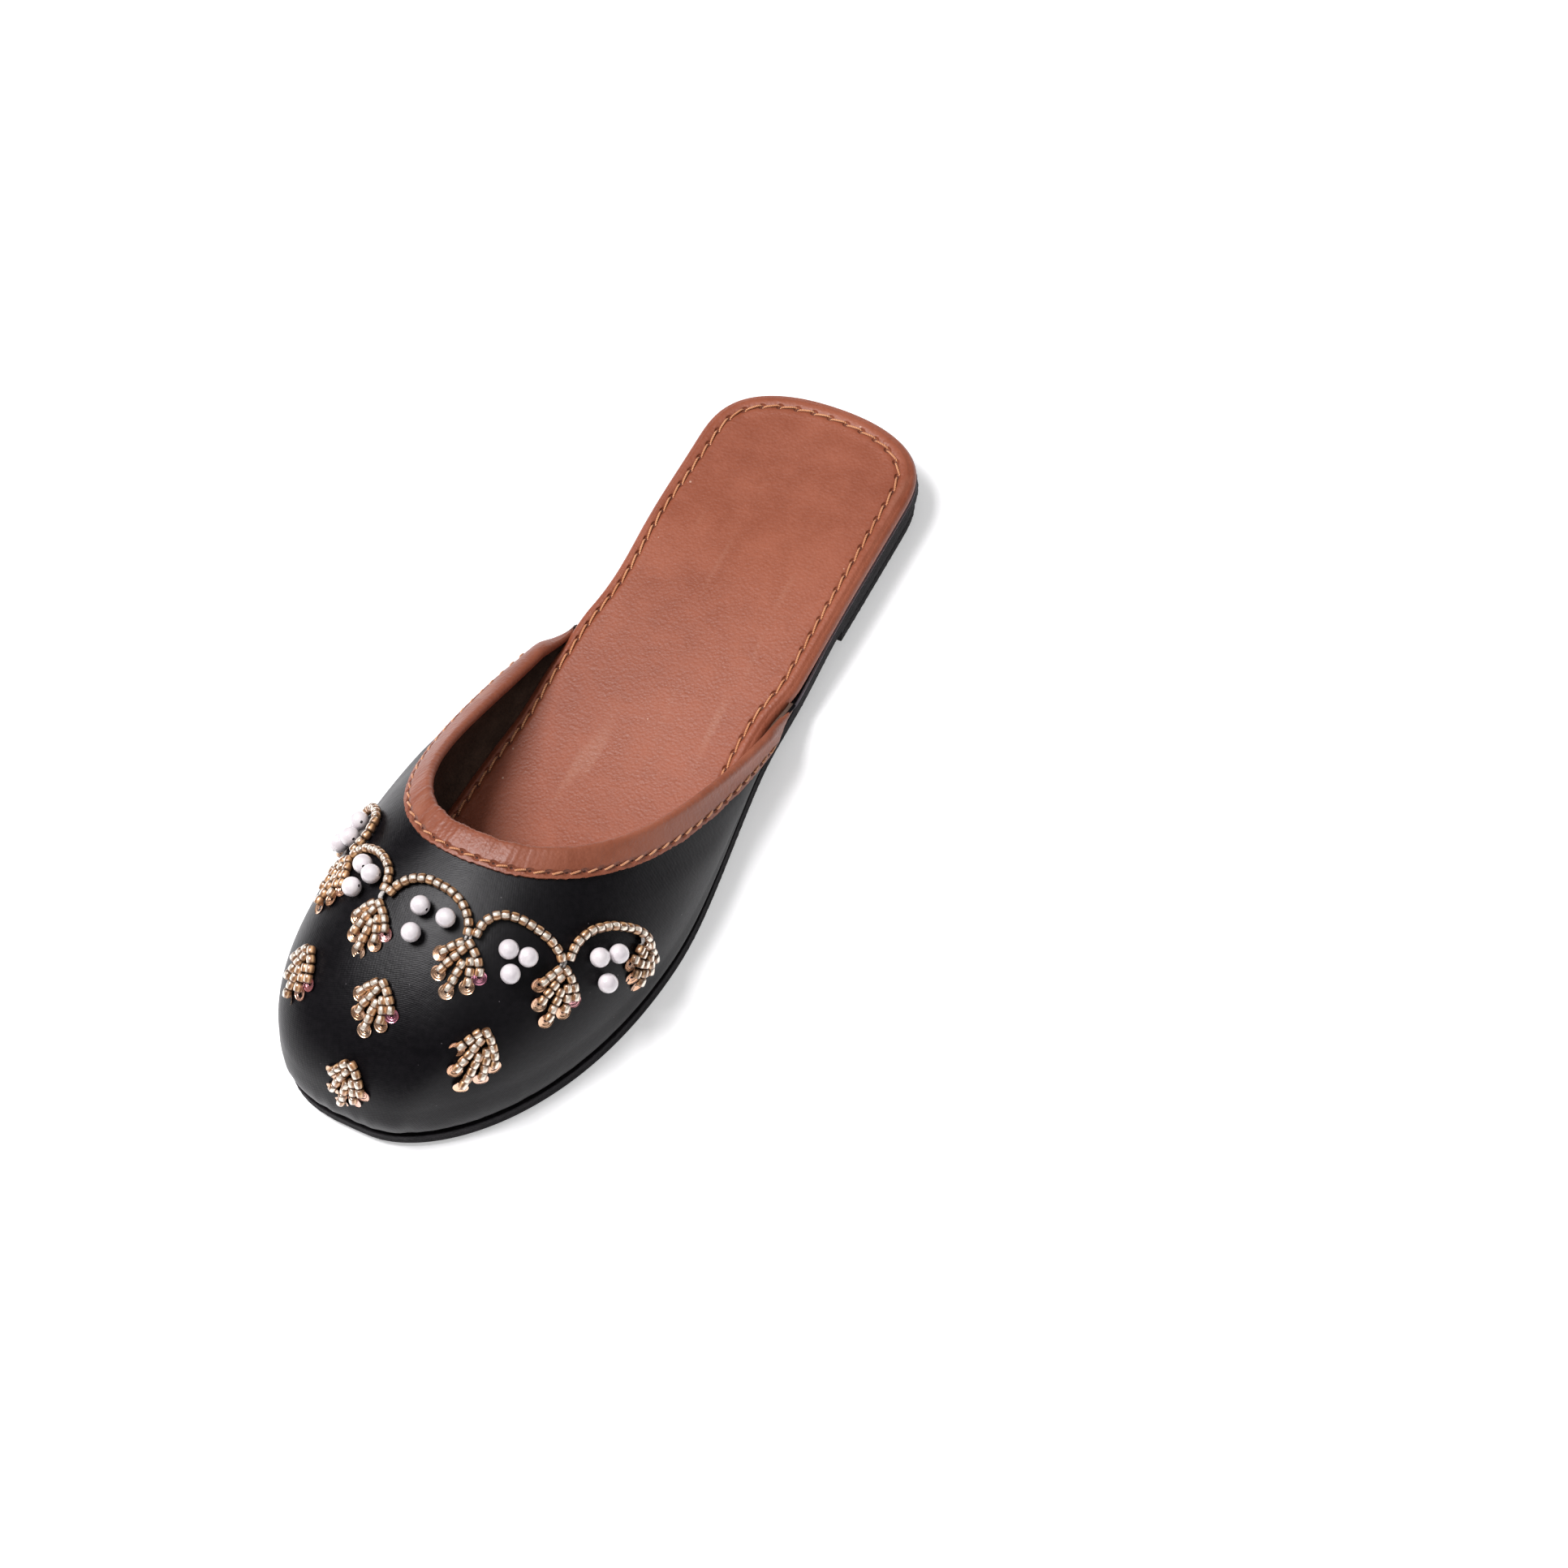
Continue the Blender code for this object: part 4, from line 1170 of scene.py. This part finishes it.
def make_binding_stitches(outside_thread, inside_thread):
    """The binding's seam, where its flanges are full: dashes outside and, through the wall, inside.

    seam() sews one face of it. facing is 1 outside and -1 inside, height is the thread's over
    the wall, and ahead shifts the inside by half a stitch.
    """
    turn = vamp_turns(BINDING_RIBS)
    lip, _, _, outer_depth, inner_depth = binding_frame(turn)
    count = run_along(lip) / BINDING_PITCH

    def seam(name, keep, depth, facing, height, ahead, pitch, lean, yarn):
        kept = turn[keep]
        rise = rise_at_depth(kept, np.full((len(kept), 1), depth))[:, 0]
        normal = facing * upper_normal(kept, rise)
        wall = 0.0 if facing > 0 else wall_at(rise)[:, None]
        points = upper_point(kept, rise) + normal * (wall + height)
        sew(name, points, count[keep] + ahead, normal, pitch, lean, yarn)

    outside, inside = outer_depth > SEWN_FROM * OUTER_FLANGE, inner_depth > SEWN_FROM * INNER_FLANGE
    seam("binding_stitches_outside", outside, BINDING_STITCH_DEPTH, 1, 0.74 * MM, 0.0,
         BINDING_PITCH * 0.74, 0.36 * MM, outside_thread)
    seam("binding_stitches_inside", inside, 0.80 * INNER_FLANGE, -1, 0.66 * MM, 0.5,
         BINDING_PITCH * 0.86, 0.12 * MM, inside_thread)


# Embroidery


def bead_template(diameter, length, around=16):
    """A seed bead about x: a barrel wall with rounded ends and a bore."""
    r, h = diameter / 2, length / 2
    radius = np.array([0.42, 0.72, 0.93, 1.0, 0.93, 0.72, 0.42, 0.36]) * r
    height = np.array([-0.97, -1.0, -0.80, 0.0, 0.80, 1.0, 0.97, 0.0]) * h
    uv = map_grid(np.linspace(0, 1, around + 1), [0.05, 0.02, 0.15, 0.5, 0.85, 0.98, 0.95, 0.98, 0.05])
    return ring_template(radius, height, around), uv


def string_beads(name, route, size, material, seed, replaces=()):
    """Beads threaded end to end along a route in turn and rise."""
    diameter, length = size
    rng = np.random.default_rng(seed)
    line = upper_point(route[:, 0], route[:, 1])
    run = run_along(line)
    number = max(1, round(run[-1] / (length * 0.98)))
    where = (np.arange(number) + 0.5) / number * run[-1]
    turn, rise = interpolated(where, run, route).T
    ahead, behind = interpolated(where + 0.3 * MM, run, line), interpolated(where - 0.3 * MM, run, line)
    normal = upper_normal(turn, rise)
    lift = diameter / 2 + satin_relief(turn, rise) + rng.uniform(0.0, 0.15, number) * MM
    origin = upper_point(turn, rise) + normal * lift[:, None]
    along = unit(ahead - behind) + rng.uniform(-0.10, 0.10, (number, 3))
    template, uv = bead_template(diameter, length * 0.97)
    copies = placed(template, origin, along, normal)
    shade = rng.uniform(0, 1, number)
    return make_piece(name, copies, material, uv, (True, True), shade=shade, replaces=replaces)


def nearest_tip(place):
    """The leaf tip that a garland's end is drawn to."""
    tips = np.array([leaf[1] for leaf in LEAVES])
    return tips[((tips - place) ** 2).sum(axis=1).argmin()]


def make_bead_strings(material):
    """Each garland string hangs in half an ellipse between its ends, over its crown."""
    angle = np.linspace(0, math.pi, 90)[:, None]
    for k, (name, *places) in enumerate(BEAD_STRINGS):
        first, crown, last = (np.array(place) for place in places)
        first, last = (end + 0.4 * (nearest_tip(end) - end) for end in (first, last))
        middle = (first + last) / 2
        route = middle - (last - first) / 2 * np.cos(angle) + (crown - middle) * np.sin(angle)
        replaced = (f"bead_string_{name}",)
        string_beads(f"garland_{name}", route, STRING_BEAD, material, 50 + k, replaced)


def make_junctions(material):
    """White thread tied off where two garland strings and a leaf meet."""
    rng = np.random.default_rng(21)
    tips = np.repeat(np.array([leaf[1] for leaf in LEAVES[:6]]), 3, axis=0)
    place = tips + rng.uniform(-1, 1, tips.shape) * (0.0022, 0.008) + (0, 0.018)
    normal = upper_normal(place[:, 0], place[:, 1])
    lift = satin_relief(place[:, 0], place[:, 1]) + rng.uniform(0.7, 1.3, len(place)) * MM
    origin = upper_point(place[:, 0], place[:, 1]) + normal * lift[:, None]
    down = upper_point(place[:, 0], place[:, 1] - 0.01) - upper_point(place[:, 0], place[:, 1])
    along = unit(down) + rng.uniform(-0.5, 0.5, down.shape)
    template, uv = stitch_template(2.6 * MM, 0.0)
    copies = placed(template * (1.0, 1.25, 1.25), origin, along, normal)
    return make_piece("garland_junction_threads", copies, material, uv, (False, True), True)


def make_pearls(material):
    """Round drilled pearls, each with its bore along the cloth but for one that faces out."""
    around = 28
    bend = np.linspace(np.radians(9), np.radians(171), 22)
    radius = np.append(PEARL_DIAMETER / 2 * np.sin(bend), [0.30 * MM, 0.30 * MM])
    height = np.append(-PEARL_DIAMETER / 2 * np.cos(bend), [PEARL_DIAMETER * 0.42, -PEARL_DIAMETER * 0.42])
    # Rows at the bore's mouths and inside it take the lacquer's painted shade
    edge = np.concatenate([[0.97], np.full(20, 0.5), [0.97, 1.0, 1.0, 0.97]])
    uv = map_grid(np.linspace(0, 1, around + 1), edge)
    rng = np.random.default_rng(3)
    for name, turn, rise in PEARLS:
        turn, rise = np.array([turn]), np.array([rise])
        normal = upper_normal(turn, rise)
        lift = PEARL_DIAMETER / 2 + satin_relief(turn, rise)[:, None] + 0.05 * MM
        along = rng.normal(size=(1, 3))
        along = along - normal * (along * normal).sum() * (0.9 if name != "middle_a" else -3.0)
        centre = upper_point(turn, rise) + normal * lift
        copies = placed(ring_template(radius, height, around), centre, along, normal + 0.01 * UP)
        replaced = (f"pearl_{name}",)
        make_piece(f"pearl_bead_{name}", copies, material, uv, (True, True), replaces=replaced)


def sequin_template(around=20):
    """A cupped sequin facing x: a flat rim, a bowl and a bore, with a thin wall."""
    r = SEQUIN_DIAMETER / 2
    radius = np.array([0.20, 0.48, 0.80, 1.0, 1.0, 0.80, 0.48, 0.20]) * r
    height = np.array([0.0, 0.05, 0.30, 0.42, 0.34, 0.22, -0.03, -0.08]) * MM
    uv = map_grid(np.linspace(0, 1, around + 1), [0.05, 0.48, 0.80, 1.0, 1.0, 0.80, 0.48, 0.20, 0.05])
    return ring_template(radius, height, around), uv


def make_leaves(beads, sequins):
    """Leaf sprigs: curved strands of beads that fan from the tip, with a sequin under each end."""
    sequin, sequin_uv = sequin_template()
    for k, (name, tip, towards, length, width) in enumerate(LEAVES):
        rng = np.random.default_rng(70 + k)
        tip = np.array(tip)
        origin = upper_point(*tip)
        normal = upper_normal(*tip)
        along = upper_point(*towards) - origin
        along = unit(along - normal * (along @ normal))
        side = unit(np.cross(normal, along))
        here = surface_solver(tip)
        routes = [here(np.array(strand) * (length, width) * MM, along, side, origin) for strand in STRANDS]
        for j, route in enumerate(routes):
            dense = interpolated(np.linspace(0, 1, 40), np.linspace(0, 1, len(route)), route)
            strand = f"leaf_{name}_strand_{j + 1}"
            string_beads(strand, dense[:-1], LEAF_BEAD, beads, 100 + 10 * k + j)
        ends = np.array([route[-1] for route in routes])
        before = np.array([route[-2] for route in routes])
        up = upper_normal(ends[:, 0], ends[:, 1])
        outward = unit(upper_point(ends[:, 0], ends[:, 1]) - upper_point(before[:, 0], before[:, 1]))
        facing = up + 0.22 * outward + rng.uniform(-0.14, 0.14, up.shape)
        centre = upper_point(ends[:, 0], ends[:, 1]) + up * 0.30 * MM - outward * 0.1 * MM
        copies = placed(sequin, centre, facing, outward)
        shade = np.clip(np.array([0.85, 0.2, 0.35, 0.45, 0.50]) + rng.uniform(-0.2, 0.2, 5), 0, 1)
        make_piece(f"leaf_{name}_sequins", copies, sequins, sequin_uv, (True, True), shade=shade)


def surface_solver(tip):
    """Returns a function from flat places near a tip to turn and rise, by six least-squares steps."""
    def solve(flat, along, side, origin):
        target = origin + flat[:, :1] * along + flat[:, 1:] * side
        place = np.repeat(np.array(tip, float)[None], len(flat), axis=0)
        for _ in range(SOLVER_STEPS):
            here = upper_point(place[:, 0], place[:, 1])
            by_turn = (upper_point(place[:, 0] + MM, place[:, 1]) - here) / MM
            by_rise = (upper_point(place[:, 0], place[:, 1] + MM) - here) / MM
            miss = target - here
            a, b, c = (by_turn**2).sum(1), (by_turn * by_rise).sum(1), (by_rise**2).sum(1)
            d, e = (by_turn * miss).sum(1), (by_rise * miss).sum(1)
            place = place + np.stack([c * d - b * e, a * e - b * d], axis=-1) / (a * c - b * b)[:, None]
            place = np.clip(place, 0.02, 0.98)
        return place
    return solve


# Studio


def frame_at(axes, place):
    """An object's matrix from its three axes, as columns, and its place."""
    place = np.asarray(place)[:, None]
    return Matrix(np.block([[axes, place], [np.zeros((1, 3)), np.ones((1, 1))]]).tolist())


def make_camera():
    """The camera at the photograph's angle to the shoe: a long lens, high over the toe and rolled.

    Returns the level directions to its right and away from it.
    """
    yaw, pitch, roll = np.radians([-38.78, 57.048, 13.327])
    pivot = np.array([0.0, -0.094, 0.0])
    aside, rise, distance = -0.03989, 0.000306, 1.206626
    level = np.array([np.cos(yaw), -np.sin(yaw), 0.0])
    upright = np.array([np.sin(pitch) * np.sin(yaw), np.sin(pitch) * np.cos(yaw), np.cos(pitch)])
    forward = np.array([np.cos(pitch) * np.sin(yaw), np.cos(pitch) * np.cos(yaw), -np.sin(pitch)])
    right = np.cos(roll) * level - np.sin(roll) * upright
    up = np.sin(roll) * level + np.cos(roll) * upright
    place = pivot - aside * right - rise * up - distance * forward
    data = bpy.data.cameras.new("camera")
    data.lens, data.sensor_width = 101.59, 36.0
    data.clip_start, data.clip_end = 0.05, 50.0
    camera = bpy.data.objects.new("camera", data)
    camera.matrix_world = frame_at(np.stack([right, up, -forward], axis=1), place)
    bpy.context.scene.collection.objects.link(camera)
    bpy.context.scene.camera = camera
    return level, np.array([-level[1], level[0], 0.0])


def add_softbox(name, place, target, size, power, colour=(1.0, 1.0, 1.0)):
    """A square area light that faces a target."""
    data = bpy.data.lights.new(name, "AREA")
    data.shape, data.size = "SQUARE", size
    data.energy, data.color = power, colour
    light = bpy.data.objects.new(name, data)
    back = unit(np.asarray(place, float) - target)
    across = unit(np.cross(UP, back) + np.array([1e-6, 0, 0]))
    light.matrix_world = frame_at(np.stack([across, np.cross(back, across), back], axis=1), place)
    bpy.context.scene.collection.objects.link(light)


def make_studio(right, away):
    """A pale floor under three soft boxes: a key at the camera's left, one overhead, one in front."""
    target = np.array([0.0, -0.09, 0.02])
    add_softbox("key", target - 0.62 * right + 0.14 * away + 1.6 * UP, target, 0.75, 33.0, (1.0, 0.98, 1.0))
    add_softbox("overhead", target + 0.25 * away + 2.2 * UP, target, 2.0, 9.0)
    add_softbox("front", target + 0.35 * right - 0.9 * away + 1.5 * UP, target, 1.2, 3.0)
    world = bpy.data.worlds.new("studio")
    bpy.context.scene.world = world
    world.use_nodes = True
    world.node_tree.nodes["Background"].inputs["Color"].default_value = (0.97, 0.97, 1.0, 1.0)
    world.node_tree.nodes["Background"].inputs["Strength"].default_value = 0.07
    floor = bpy.data.meshes.new("floor")
    half = 6.0
    corners = [(-half, -half, 0), (half, -half, 0), (half, half, 0), (-half, half, 0)]
    floor.from_pydata(corners, [], [(0, 1, 2, 3)])
    white = (1.0, 1.0, 1.0, 1.0)
    paper = Finish("floor paper", Specular_IOR_Level=0.1, Emission_Color=white, Emission_Strength=0.42)
    tone = paper.noise(0.4, 2, 0.5)
    colour = paper.mix(tone, (0.90, 0.90, 0.91), (0.93, 0.93, 0.935))
    paper.drive(Base_Color=colour, Roughness=tone * 0.1 + 0.85)
    floor.materials.append(paper.material)
    ground = bpy.data.objects.new("floor", floor)
    bpy.context.scene.collection.objects.link(ground)
    bpy.context.scene.view_settings.view_transform = "Standard"


make_studio(*make_camera())
tan = leather(
    "footbed leather", (0.375, 0.113, 0.060), (0.258, 0.067, 0.032), FOOTBED_PITCH, FOOTBED_STITCH_INSET, 0.46
)
rolled = leather(
    "binding leather", (0.345, 0.110, 0.060), (0.205, 0.056, 0.028), BINDING_PITCH, BINDING_STITCH_DEPTH, 0.42
)
make_outsole(sole_rubber("outsole rubber", 0.955))
make_heel_lift(sole_rubber("heel lift rubber", 2.0))
make_footbed(tan)
make_vamp_satin(satin("vamp satin"))
# The suede's own brown, darkened further as painted shade inside the vamp
make_vamp_lining(suede("suede lining", (0.150, 0.088, 0.060), (0.062, 0.034, 0.023)))
make_binding(rolled)
amber = thread("amber thread", (1.0, 0.53, 0.27), (0.56, 0.17, 0.055))
make_footbed_stitches(amber)
white = thread("white thread", (0.88, 0.85, 0.82), (0.62, 0.57, 0.53))
make_binding_stitches(amber, white)
make_junctions(white)
# Its first colour is the painted highlight on the beads, its second the brown glass
gold = lined_glass("silver-lined glass", (1.0, 0.89, 0.75), (0.46, 0.22, 0.10))
make_bead_strings(gold)
make_pearls(pearl_lacquer("pearl lacquer"))
make_leaves(gold, foil("sequin foil"))
